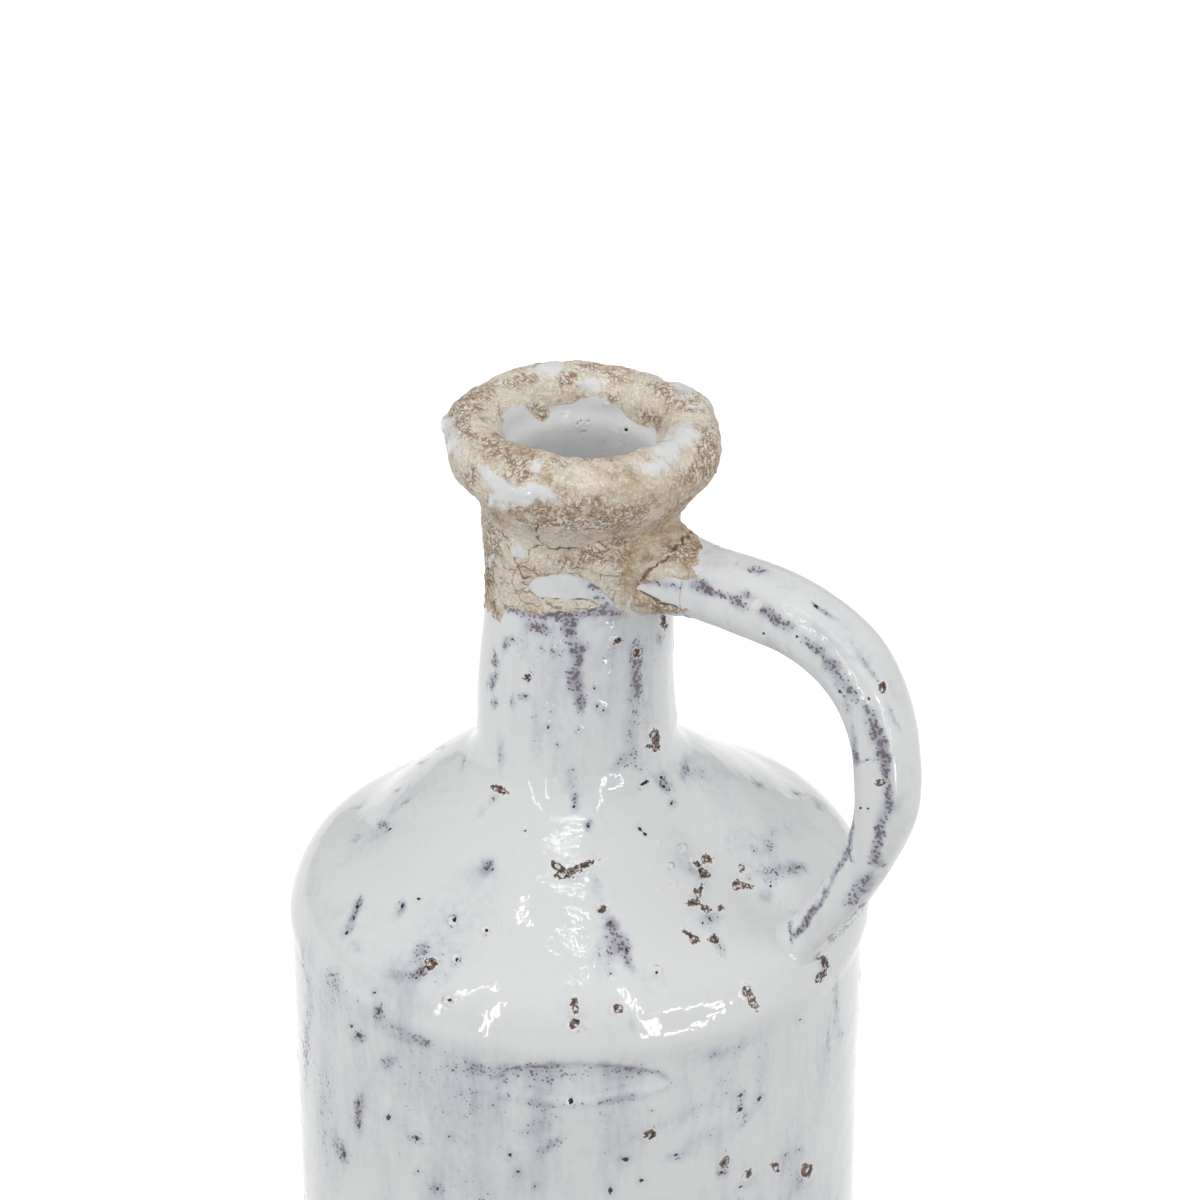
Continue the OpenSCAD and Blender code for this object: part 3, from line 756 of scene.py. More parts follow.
# Marks on the body, as pixels of the photo: centre, half length, half width and degrees,
# with a strength at the end of a smear
bodyMarks = {
    "smears": [
        (538, 628, 11, 6, 12, 0.9), (549, 615, 16, 5, 0, 0.8), (568, 621, 9, 9, 0, 0.85),
        (571, 632, 6, 9, 0, 0.9), (579, 649, 6, 9, 70, 0.95), (580, 660, 3.5, 6, 0, 0.7),
        (575, 680, 6.5, 14, -4, 1.1), (581, 702, 6, 10, 0, 0.9), (504, 645, 4, 7, 0, 0.8),
        (512, 639, 4, 3, 0, 0.6), (495, 659, 3.5, 10, -8, 0.75), (492, 682, 4, 8, 10, 0.85),
        (494, 703, 3, 6, 0, 0.8), (527, 678, 5, 4, 20, 0.9), (524, 697, 4, 3.5, 0, 0.75),
        (512, 701, 3, 7, 0, 0.6), (617, 640, 5, 4, -30, 0.75), (637, 652, 5.5, 8, 0, 0.9),
        (637, 640, 4, 16, 0, 0.5), (636, 676, 5, 30, 0, 0.45), (663, 624, 4, 8, -8, 0.75),
        (660, 641, 3, 8, -10, 0.6), (649, 613, 5, 3, -10, 0.7), (606, 620, 12, 8, 0, 0.5),
        (590, 613, 16, 5, -8, 0.7), (620, 612, 8, 8, 0, 0.55), (516, 612, 14, 4, 12, 0.6),
        (640, 690, 12, 40, 5, 0.28), (536, 730, 6, 42, 0, 0.28), (500, 756, 5, 18, 2, 0.5),
        (548, 700, 16, 40, 0, 0.12), (520, 715, 10, 30, 0, 0.16), (494, 799, 7, 5, -50, 0.6),
        (483, 812, 12, 5, -50, 0.42), (622, 764, 14, 6, -30, 0.5), (610, 700, 14, 46, 0, 0.15),
        (640, 768, 6, 8, 0, 0.55), (628, 756, 14, 8, -35, 0.3), (575, 802, 5, 9, 5, 0.75),
        (571, 780, 6, 14, 0, 0.34), (588, 825, 4, 5, 0, 0.7), (664, 784, 6, 10, -20, 0.7),
        (672, 804, 7, 7, 30, 0.4), (685, 769, 4, 10, 5, 0.55), (697, 775, 18, 8, 20, 0.36),
        (489, 866, 7, 8, 0, 0.85), (486, 874, 18, 16, 0, 0.32), (570, 876, 18, 8, 0, 0.55),
        (596, 885, 6, 16, -18, 0.5), (603, 909, 5, 7, -20, 1.0), (612, 926, 8, 8, 30, 0.95),
        (622, 945, 8, 12, -25, 0.9), (629, 962, 5, 11, -20, 0.85), (608, 952, 12, 18, 0, 0.42),
        (600, 965, 16, 24, 0, 0.2), (640, 985, 18, 22, 0, 0.2), (574, 1016, 12, 12, 0, 0.36),
        (619, 1008, 9, 9, 0, 0.42), (632, 1024, 8, 8, 0, 0.36), (682, 862, 30, 9, 35, 0.34),
        (702, 871, 8, 8, 0, 0.6), (697, 897, 6, 11, 30, 0.65), (712, 916, 14, 12, 0, 0.5),
        (716, 942, 5, 12, -35, 0.7), (722, 958, 12, 14, -35, 0.32), (742, 868, 6, 5, 40, 0.65),
        (750, 878, 6, 3, 45, 0.6), (768, 873, 12, 8, 20, 0.62), (797, 868, 10, 7, 10, 0.75),
        (783, 872, 26, 9, -5, 0.42), (766, 897, 7, 8, 40, 0.5), (768, 843, 9, 14, 10, 0.42),
        (760, 856, 28, 20, 20, 0.2), (796, 793, 10, 3, 35, 0.75), (818, 804, 9, 3, 42, 0.75),
        # The last mark on this line and the six on the next two darken the crevice at the handle's foot and
        # the strap's lower edge: painted shade, drawn as thin glaze
        (759, 785, 6, 2.5, 35, 0.7), (740, 775, 30, 10, 20, 0.24), (812, 955, 9, 4.5, 35, 1.3),
        (824, 966, 5.5, 9, -10, 1.4), (819, 977, 7, 5, -40, 1.3), (862, 908, 9, 2.6, -50, 1.0),
        (849, 922, 10, 3, -45, 1.3), (837, 934, 10, 3, -42, 1.3), (828, 942, 6, 2.4, -35, 0.9),
        (441, 748, 7, 2, -12, 0.7), (423, 762, 8, 2, -25, 0.7), (398, 790, 5, 2, -30, 0.7),
        (361, 805, 9, 2.5, -38, 0.75), (383, 825, 6, 4, 60, 0.7), (405, 802, 16, 3, -42, 0.4),
        (355, 839, 6, 2.5, -35, 0.6), (380, 832, 20, 7, -30, 0.25), (463, 762, 2.5, 9, 12, 0.85),
        (450, 758, 16, 4, -20, 0.3), (359, 905, 3.5, 8, 15, 0.85), (353, 919, 3.5, 8, 15, 0.75),
        (348, 931, 4, 5, 20, 0.8), (402, 908, 4, 8, 10, 0.65), (396, 912, 14, 14, 0, 0.2),
        (421, 949, 7, 10, 25, 0.6), (420, 971, 8, 5, -40, 0.75), (396, 975, 14, 8, 15, 0.45),
        (333, 978, 8, 16, 0, 0.5), (356, 947, 8, 7, 0, 0.35), (378, 1012, 8, 7, 30, 0.65),
        (388, 1026, 20, 10, 28, 0.42), (359, 1038, 7, 8, 30, 0.55), (425, 1042, 10, 6, 20, 0.5),
        (408, 1036, 16, 7, 20, 0.3), (340, 900, 40, 30, 0, 0.12), (480, 960, 40, 30, 0, 0.1),
        (520, 1000, 30, 40, 0, 0.1), (713, 1056, 26, 7, -16, 0.45), (740, 1045, 30, 6, -25, 0.25),
        (836, 1000, 2, 22, 0, 0.7), (828, 1040, 2.5, 18, 0, 0.5), (841, 1034, 3, 8, 0, 0.5),
        (309, 1000, 3, 40, 0, 0.55), (303, 960, 3, 20, -8, 0.6), (306, 1060, 3, 40, 0, 0.5),
        (359, 1112, 5, 18, 8, 0.65), (341, 1150, 6, 16, -20, 0.75), (345, 1180, 8, 20, 0, 0.3),
        (388, 1062, 8, 9, 20, 0.5), (414, 1138, 10, 8, 0, 0.35), (450, 1060, 20, 9, 15, 0.35),
        (470, 1068, 22, 8, 8, 0.4), (555, 1143, 14, 5, -38, 0.8), (560, 1120, 50, 12, -12, 0.22),
        (650, 1133, 8, 5, -15, 0.5), (676, 1158, 22, 6, -10, 0.45), (700, 1140, 36, 8, -28, 0.3),
        (675, 1120, 40, 7, -22, 0.36), (745, 1120, 4, 16, 38, 0.65), (742, 1100, 7, 12, 0, 0.45),
        (725, 1166, 6, 9, 25, 0.7), (750, 1176, 8, 8, 0, 0.55), (776, 1165, 6, 6, 0, 0.7),
        (802, 1178, 8, 16, 12, 0.6), (840, 1100, 10, 60, 0, 0.12), (325, 1090, 10, 60, 0, 0.2),
        (500, 1150, 50, 30, 0, 0.1), (600, 1160, 60, 20, -5, 0.12), (440, 1180, 30, 20, 0, 0.1),
        (600, 601, 9, 8, 30, 0.9), (594, 586, 12, 3, 30, 0.75), (560, 588, 30, 8, 0, 0.04),
        (608, 610, 8, 6, 0, 0.7), (524, 608, 18, 4, 8, 0.6), (632, 735, 11, 36, 0, 0.34),
        (520, 660, 16, 40, 0, 0.16), (560, 650, 26, 34, 0, 0.2), (610, 650, 20, 30, 0, 0.2),
        (560, 1085, 90, 16, 3, 0.3), (480, 1100, 60, 26, 10, 0.18), (640, 1130, 90, 36, -15, 0.2),
        (400, 1090, 60, 60, 0, 0.14), (330, 990, 24, 34, 10, 0.26), (760, 1070, 60, 24, -22, 0.2),
        (812, 1100, 16, 80, 0, -0.3), (720, 870, 50, 24, 25, 0.14), (690, 930, 40, 30, 30, 0.14),
        (470, 890, 34, 26, 0, 0.14), (360, 850, 46, 20, -35, 0.14), (440, 960, 40, 26, 20, 0.14),
        (760, 820, 50, 22, 30, 0.2), (600, 990, 30, 26, 0, 0.16), (320, 1140, 16, 60, 0, 0.16),
        (520, 1190, 90, 20, 0, 0.16)],
    "specks": [
        (611, 395, 2.4, 2.0, 0), (614, 402, 1.8, 1.6, 0), (619, 400, 1.8, 1.7, 0),
        (607, 401, 1.6, 1.3, 0), (566, 447, 1.4, 1.3, 0), (588, 421, 1.3, 1.3, 0),
        (594, 688, 1.6, 1.6, 0), (597, 706, 2, 2, 0), (604, 710, 1.6, 1.6, 0), (548, 728, 2.2, 2.2, 0),
        (579, 730, 1.4, 1.4, 0), (557, 745, 1.3, 1.3, 0), (525, 830, 1.7, 1.7, 0),
        (588, 825, 1.8, 2.4, 0), (512, 639, 1.8, 1.6, 0), (524, 697, 2.2, 2, 0),
        (541, 649, 1.2, 1.2, 0), (553, 652, 1, 1, 0), (645, 782, 7, 2, -30), (661, 777, 2, 2, 0),
        (664, 786, 2.4, 2.2, 0), (670, 789, 1.6, 1.6, 0), (672, 804, 2, 2, 0), (640, 829, 3, 2.4, 30),
        (645, 834, 2.6, 2, 40), (682, 849, 1.2, 1, 0), (401, 906, 2, 3.4, 15), (419, 899, 2.2, 2.2, 0),
        (454, 920, 2.6, 3.2, 10), (487, 931, 2.2, 2.2, 0), (457, 959, 2, 3.2, 10),
        (449, 1000, 2.8, 2.4, 0), (374, 993, 1.6, 1.6, 0), (379, 1012, 1.8, 4.5, 0),
        (359, 1035, 4, 3, 30), (351, 1027, 2, 2.4, 40), (357, 907, 2, 4, 15), (347, 932, 2, 3.4, 20),
        (353, 919, 1.5, 3, 15), (657, 972, 2.4, 2.4, 0), (754, 850, 1.4, 1.4, 0),
        (800, 1020, 1.6, 1.6, 0), (586, 1030, 3, 1, 40), (387, 1118, 3, 3.4, 20),
        (417, 1139, 3.4, 2.6, 30), (343, 1155, 2.6, 4, 0), (449, 1136, 1.8, 1.8, 0),
        (510, 1155, 3, 2.4, 0), (518, 1173, 2.6, 2, 20), (534, 1188, 1.7, 1.7, 0),
        (522, 1134, 1.5, 1.2, 0), (571, 1101, 3.2, 3, 0), (626, 1161, 4.4, 2.6, -15),
        (642, 1181, 3.4, 2.4, 0), (611, 1190, 3, 4, 0), (676, 1156, 3.4, 2.2, -10),
        (741, 1095, 2.8, 2.4, -20), (741, 1111, 3.6, 3, -20), (760, 1099, 2.4, 3.4, 25),
        (722, 1174, 2.4, 2.2, 0), (786, 1156, 2, 2, 0), (800, 1149, 1.7, 1.7, 0),
        (652, 1110, 1.2, 1.2, 0), (437, 1190, 2.6, 2, 20), (418, 1170, 1.6, 1.4, 0),
        (358, 1104, 2, 3, 0), (358, 1126, 2, 4, 0), (741, 1188, 2.6, 1.8, -30), (710, 918, 1.6, 1.6, 0),
        (703, 922, 1.7, 1.7, 0), (718, 917, 1.5, 1.5, 0), (721, 948, 1.4, 4, -25),
        (771, 886, 1.5, 3, -40), (610, 923, 2, 1.6, 0), (616, 940, 1.7, 1.5, 0),
        (626, 950, 1.6, 2.6, -20), (611, 953, 1.4, 1.4, 0), (611, 973, 1.5, 1.5, 0),
        (420, 972, 1.7, 1.6, 0), (416, 978, 1.9, 1.6, 0), (425, 967, 1.4, 1.6, 0),
        (575, 799, 1.6, 1.8, 0), (574, 806, 1.7, 2, 0), (487, 864, 1.4, 1.4, 0),
        (492, 868, 1.4, 1.3, 0), (486, 870, 1.2, 1.2, 0), (389, 829, 3, 1.2, -35),
        (383, 825, 1.6, 1.2, 0), (626, 430, 2.2, 2.2, 0), (589, 453, 1.4, 1.4, 0),
        (560, 456, 1.2, 1.2, 0), (578, 424, 1.3, 1.3, 0), (581, 421, 1.2, 1.2, 0)],
    "pits": [
        (655, 738, 2.6, 6, -6), (653, 748, 4.5, 2, 20), (500, 790, 7, 2.8, 18), (527, 678, 3, 2.2, 20),
        (617, 640, 3.2, 2, -25), (663, 622, 2, 5, -6), (638, 653, 3, 3.4, 0), (559, 868, 6, 2.6, 38),
        (580, 868, 14, 2.4, -20), (562, 875, 5, 3, 0), (432, 964, 4, 4.6, 30), (574, 1006, 3, 5.6, 0),
        (573, 1024, 4.4, 4, 0), (618, 1008, 4.4, 4, 0), (707, 860, 5, 3.2, -8), (697, 864, 3.4, 2, 45),
        (703, 872, 5.4, 3, 40), (700, 891, 2.6, 5.5, 20), (693, 903, 5, 2.4, -10),
        (706, 908, 4, 2.4, 20), (720, 908, 2, 2, 0), (695, 940, 4.6, 4, 0), (690, 935, 4, 1.4, 30),
        (713, 939, 4, 2.6, 20), (738, 885, 5.4, 4.4, 0), (748, 886, 5, 2, 25), (742, 869, 3, 2.4, 40),
        (750, 998, 11, 3.6, 66), (650, 1134, 5, 3, -15), (603, 909, 3, 3.4, 0), (725, 1163, 4, 5, 20),
        # The last pit on this line and the two on the next darken the crevice at the handle's foot: painted
        # shade
        (775, 1166, 3.4, 4, 0), (806, 1170, 5, 7, 10), (748, 1174, 4, 2, -30), (812, 954, 6, 1.2, 25),
        (825, 965, 1.6, 7, -12), (819, 977, 4, 1.6, -45)],
    "rings": [
        (619, 446, 4.5, 4.5, 0), (583, 434, 4.2, 3.4, 0), (601, 440, 3.0, 2.4, 0),
        (682, 849, 4.6, 5, 40), (658, 842, 2.6, 2.6, 0), (671, 866, 3, 3.4, 0), (659, 889, 3, 3, 0),
        (674, 884, 2.6, 3.4, 0), (732, 837, 2.4, 2.4, 0), (453, 921, 5.4, 5.4, 0), (486, 930, 5, 5, 0),
        (456, 958, 5, 5, 0), (448, 1000, 5, 4.6, 0), (573, 1030, 5, 3, 0), (658, 970, 4.6, 4.6, 0),
        (619, 448, 5.5, 6.5, 0)],
    "bumps": [(424, 959, 7, 7, 0)],
    "dent": [
        (487, 1080), (505, 1068), (545, 1063), (583, 1062), (633, 1066), (660, 1070), (673, 1080),
        (650, 1094), (594, 1104), (545, 1105), (505, 1098)],
    "dentTop": [
        (474, 1068), (500, 1066), (540, 1064), (583, 1062), (633, 1067), (661, 1070), (672, 1080),
        (668, 1087)],
    "dentFoot": [(668, 1087), (648, 1094), (594, 1104), (545, 1105), (500, 1096)],
}


glazeForm = {
    "ragged": (2.0, 2.2),          # pixels by which outlines of marks are torn, over mm
    "photoFoot": (1192, 1212),     # pixels over which the photo's marks fade out at its lower edge
    "veil": (0.11, 0.10, 0.05),    # thinness everywhere, more on the wall, more on the neck
    "cloudy": 0.2,                 # thinness in broad clouds
    "streaky": 0.12,               # thinness in upright streaks on the wall and the neck
    "marked": (0.2, -0.12),        # how much stronger marks are on the neck and on the wall
    "dented": (0.42, 0.4, 0.36),   # thinness along the dent's top, along its foot and inside it
    "halo": 0.22,                  # thinness round a speck
    "pitDeep": 0.42,               # mm, as are those below
    "collarHigh": 0.16,
    "ringHigh": 0.22,
    "bumpHigh": 0.9,
    "thinDeep": 0.10,
    "dentDeep": 1.0,
    "ledgeHigh": 0.28,
}


# Body looks: smears, dots and pits from the photo where it shows the jug, scattered ones elsewhere
def glazeLooks(p, n, theta, s):
    form = glazeForm
    u, v = photoOf(p)
    ru, rv = roughPhotoOf(p, *form["ragged"])
    unseen = {key: [m for m in marks if s.min() - 14 < m[1] < s.max() + 14]
              for key, marks in unseenMarks.items()}
    shown = ease(facingOf(p, n), 0.0, 0.1) * (1 - ease(v, *form["photoFoot"]))
    seen = shown > 0.5
    radius = np.hypot(p[..., 0], p[..., 1])
    grain = layered(p, (9, 9, 16), 21, 3)
    streaks = ease(layered(p, (5, 5, 15), 201, 3) + 0.35 * layered(p, 40, 203, 2), 0.62, 1.15)
    soft = streaks + 0.35 * ease(layered(p, (13, 13, 34), 207, 2), 0.3, 0.9)
    dent = patch(u, v, bodyMarks["dent"])
    top = np.exp(-(lineDistance(ru, rv - 2, bodyMarks["dentTop"]) / 5.0) ** 2)
    ledge = np.exp(-(lineDistance(u, v, bodyMarks["dentFoot"]) / 3.0) ** 2)
    below = np.exp(-((v - 1074) / 9.0) ** 2) * ease(dent, -0.5, 1.0)
    onTop, onLedge, inDent = form["dented"]
    inPhoto = smears(ru, rv, bodyMarks["smears"]) + top * onTop + ledge * onLedge + below * inDent
    wall = 1 - ease(s, sSeam - 2, sSeam + 10)
    onNeck = ease(s, sSeat, sCoil)
    allOver, wallMore, neckMore = form["veil"]
    veil = allOver + wallMore * wall + neckMore * onNeck + form["cloudy"] * layered(p, (24, 24, 60), 23, 3)
    veil += form["streaky"] * layered(p, (9, 9, 50), 27, 2) * np.maximum(wall, onNeck)
    neckMarks, wallMarks = form["marked"]
    strong = 1 + neckMarks * onNeck + wallMarks * wall
    thin = veil + shown * strong * inPhoto * (1 + 0.35 * grain)
    thin = thin + (1 - shown) * soft * (1 + 0.5 * grain)
    inSpeck = ovals(u, v, bodyMarks["specks"], seen) - 0.1
    speck = np.where(seen, inSpeck, scattered(theta, s, radius, unseen["specks"]))
    pit = np.where(seen, ovals(ru, rv, bodyMarks["pits"]), scattered(theta, s, radius, unseen["pits"]))
    ring = np.where(seen, ovals(u, v, bodyMarks["rings"]), farOut)
    bump = np.where(seen, ovals(u, v, bodyMarks["bumps"]), farOut)
    hollow = np.maximum(pit, speck * 0.8)
    lift = form["collarHigh"] * ease(hollow, -1.3, -0.5) * (1 - ease(hollow, -0.4, 0.0))
    lift -= form["pitDeep"] * ease(hollow, -0.35, 0.5)
    lift += form["ringHigh"] * ease(ring, -0.6, 0.2) + form["bumpHigh"] * ease(bump, -0.6, 1.2)
    thin = thin + form["halo"] * ease(speck, -2.2, -0.2)
    lift -= form["thinDeep"] * np.clip(thin, 0, 1)
    lift -= shown * (form["dentDeep"] * ease(dent, -0.3, 2.2) - form["ledgeHigh"] * ledge)
    fields = {"thin": np.tanh(np.maximum(thin, 0)), "speck": speck, "pit": pit, "bubble": ring}
    return lift, fields


# Marks for the sides that the photo doesn't show, over the whole length of the outline
unseenMarks = {
    "specks": randomMarks(330, 6, sThroat + 8, 0.3, 0.75, 1.6, 102),
    "pits": randomMarks(100, 6, sRim, 0.5, 1.3, 2.2, 103),
}
glazeBlank = {"thin": 0.25, "speck": farOut, "pit": farOut, "bubble": farOut}
# its thin is kept low so the bore below the rim is painted lighter against its shade
crustBlank = {"calm": 1.0, "thin": 0.14, "speck": farOut, "pit": farOut, "bubble": farOut, "crust": farOut,
              "stain": 0.0, "tanned": 0.0, "pale": 0.0, "flaky": 0.0, "crack": farOut, "island": farOut}


# Marks of the crust, on the rim and the top of the neck, as pixels of the photo
crustMarks = {
    "neckEdge": [
        (440, 480), (466, 612), (480, 604), (487, 606), (492, 618), (500, 625), (504, 608), (512, 606),
        (522, 610), (530, 614), (538, 617), (548, 613), (560, 612), (574, 612), (588, 609), (598, 607),
        (606, 602), (612, 603), (622, 613), (629, 614), (636, 602), (641, 612), (655, 612), (672, 604),
        (690, 606), (720, 560), (720, 480)],
    "window": [
        (528, 587), (532, 581), (540, 577), (552, 574), (566, 575), (580, 578), (592, 583), (600, 590),
        (607, 595), (613, 602), (616, 612), (605, 613), (601, 606), (597, 600), (580, 599), (560, 599),
        (545, 598), (534, 594)],
    "throat": [
        (503, 430), (501, 415), (507, 409), (516, 406), (527, 404), (530, 413), (536, 420), (543, 421),
        (548, 414), (550, 406), (560, 408), (570, 404), (580, 400), (590, 397), (600, 396), (606, 398),
        (612, 402), (618, 407), (626, 417), (634, 423), (645, 426), (655, 426), (658, 434), (657, 446),
        (650, 470), (600, 480), (520, 470)],
    "drip": [
        (477, 463), (485, 461), (493, 470), (500, 476), (510, 481), (522, 484), (536, 484), (549, 487),
        (558, 492), (552, 499), (540, 502), (528, 503), (515, 506), (503, 507), (492, 505), (489, 497),
        (494, 490), (488, 482), (481, 474)],
    "islands": [
        (446, 424, 6, 9, 0), (454, 444, 8, 8, 20), (548, 368, 17, 8, 5), (683, 387, 10, 3.5, 15),
        (668, 447, 15, 14, 10), (685, 437, 11, 9, 0), (657, 466, 16, 5, -8), (590, 386, 11, 6, 5),
        (535, 467, 4, 3, 0), (681, 397, 4, 2.4, 0), (691, 405, 4.4, 2.6, 0), (704, 405, 3.4, 2.2, 0),
        (521, 549, 6, 8, 0), (494, 557, 3, 4, 0)],
    "knobs": [(445, 424, 8, 9, 0)],
    "pale": [
        (509, 397, 17, 11, 0, 0.7), (541, 393, 18, 11, 0, 0.75), (604, 387, 28, 10, 8, 0.75),
        (638, 394, 16, 12, 20, 0.6), (616, 414, 14, 12, 0, 0.45), (700, 420, 14, 12, 0, 0.55),
        (582, 482, 42, 9, 3, 0.45), (663, 481, 26, 12, -8, 0.45), (519, 538, 13, 20, -12, 0.85),
        (568, 538, 28, 9, -4, 0.75), (608, 576, 22, 17, 0, 0.8), (628, 598, 15, 14, 0, 0.85),
        (637, 545, 20, 18, -20, 0.55), (520, 585, 16, 14, 0, 0.7), (558, 605, 40, 8, 0, 0.85),
        (548, 558, 16, 10, 0, 0.7), (671, 573, 24, 7, 4, 0.7), (650, 520, 20, 10, -30, 0.4),
        (640, 606, 8, 8, 0, 0.5), (500, 600, 8, 16, 0, 0.5), (484, 380, 20, 6, -35, 0.7),
        (560, 369, 40, 5, 0, 0.5), (642, 374, 30, 5, 14, 0.6), (461, 446, 9, 14, 0, 0.6),
        (480, 425, 10, 18, 0, 0.5), (690, 455, 10, 20, 0, 0.4)],
    "stains": [
        (475, 402, 24, 22, -40, 0.8), (460, 424, 12, 18, 0, 0.7), (521, 379, 22, 7, -10, 0.8),
        (568, 380, 12, 8, 0, 1.0), (584, 367, 16, 5, 5, 0.7), (612, 372, 14, 6, 8, 0.7),
        (663, 391, 22, 10, 22, 0.8), (695, 404, 16, 12, 40, 0.75), (708, 444, 10, 22, 0, 0.85),
        (539, 408, 11, 6, 0, 1.0), (612, 397, 7, 7, 0, 0.9), (646, 417, 12, 6, 15, 0.8),
        (495, 444, 28, 8, 14, 0.6), (529, 464, 40, 7, 8, 0.6), (517, 475, 16, 7, 12, 0.9),
        (580, 464, 26, 5, 0, 0.45), (700, 470, 16, 22, 20, 0.5), (598, 505, 50, 8, 4, 0.5),
        (548, 513, 30, 7, 6, 0.6), (466, 478, 14, 14, 40, 0.6), (493, 535, 8, 20, -10, 0.95),
        (491, 574, 6, 30, 4, 0.7), (560, 563, 20, 6, 0, 0.7), (596, 556, 18, 9, 20, 0.75),
        (618, 542, 8, 7, 0, 0.6), (657, 533, 8, 12, 20, 0.7), (560, 525, 40, 5, 2, 0.55),
        (620, 520, 40, 8, -8, 0.5), (694, 551, 15, 9, 10, 0.9), (676, 556, 8, 8, 0, 0.5),
        (497, 612, 5, 14, 10, 0.6), (662, 607, 16, 6, 6, 0.8)],
    "tans": [
        (515, 455, 32, 12, 15, 0.85), (640, 490, 55, 13, -5, 0.7), (580, 512, 95, 11, 0, 0.8),
        (490, 570, 10, 55, 0, 0.85), (575, 560, 50, 14, 5, 0.6), (640, 545, 26, 26, -20, 0.6),
        (706, 455, 14, 32, 0, 0.8), (464, 412, 15, 28, 20, 0.75), (570, 380, 15, 8, 0, 0.9),
        (688, 402, 24, 8, 35, 0.7), (668, 562, 26, 15, -15, 0.7), (580, 452, 60, 9, 0, 0.7),
        (590, 472, 80, 14, 3, 0.4), (540, 408, 13, 8, 0, 0.9), (640, 412, 16, 8, 15, 0.6),
        (480, 395, 26, 8, -38, 0.5)],
    "cracks": [
        (0.9, [(494, 526), (503, 533), (510, 542), (513, 555), (517, 568), (524, 576), (534, 580)]),
        (0.7, [(537, 521), (538, 536), (541, 545)]), (0.6, [(515, 520), (537, 525), (557, 521)]),
        (0.8, [(529, 555), (532, 548), (542, 544), (550, 547), (564, 550), (578, 547), (592, 544),
               (604, 545)]),
        (0.7, [(503, 577), (503, 584), (513, 592), (522, 593), (528, 587), (525, 580)]),
        (0.8, [(528, 587), (530, 594), (538, 598), (557, 599), (573, 600), (590, 602), (598, 606)]),
        (0.7, [(537, 580), (548, 576), (560, 573), (573, 575), (585, 579), (594, 585), (603, 591)]),
        (0.5, [(606, 589), (611, 584), (622, 589), (632, 577)]),
        (0.5, [(629, 530), (643, 526), (653, 521)]),
        (0.5, [(653, 544), (656, 537), (662, 526), (667, 516)]),
        (0.6, [(485, 556), (490, 577), (494, 600), (497, 617)]),
        (1.0, [(641, 582), (648, 570), (657, 563), (667, 556), (676, 548), (688, 537)]),
        (0.5, [(566, 519), (592, 518), (620, 514)]),
        (0.5, [(545, 560), (552, 568), (561, 570), (560, 562)]),
        (0.8, [(641, 582), (640, 592), (648, 598), (654, 605)]),
        (0.6, [(508, 608), (541, 616), (568, 611), (596, 605)])],
    "plates": [
        [(514, 513), (536, 517), (539, 543), (529, 560), (514, 556), (507, 535)],
        [(541, 528), (566, 521), (600, 524), (606, 538), (590, 548), (556, 546), (542, 541)],
        [(590, 566), (612, 560), (636, 572), (639, 590), (628, 612), (608, 600), (598, 584)],
        [(500, 584), (512, 572), (526, 580), (520, 594), (508, 597)],
        [(533, 562), (545, 548), (566, 553), (560, 570), (540, 576)]],
}
crustForm = {
    "thick": 0.35,           # mm, the crust on top of the glaze
    "lump": (0.5, 8.0),      # mm high over mm wide, as are the next two
    "grit": (0.26, 1.7),
    "flake": (0.5, 12.0),
    "inside": 16.5,          # mm, how far the crust reaches in over the lip
    "nearLip": (1.3, 4.0, 6.5),    # mm thicker on the camera's side, at mm past the lip, over mm
    "lowEdge": 329.5,        # height of its lower edge on the neck
    "ragged": (2.6, 2.6),    # pixels by which outlines of marks are torn, over mm
    "windowTorn": 0.25,      # share of that for the bare window on the neck
    "islandTorn": 1.9,       # and for the islands of glaze
    "edgeTorn": (3.2, 1.6),  # mm, its edges on the neck and in the mouth, where the photo doesn't show them
    "throatPaintedLight": (0.07, 0.16),    # thinness of the glaze in the throat, kept low as painted light against its shade: even, uneven
    "dripLess": 0.7,         # mm by which the drip is narrower than marked
    "islandHigh": 0.5,       # mm, as are those below
    "crackDeep": 0.5,
    "knobHigh": 1.0,
    "liningHigh": 0.03,      # the lining stands just clear of the neck
}


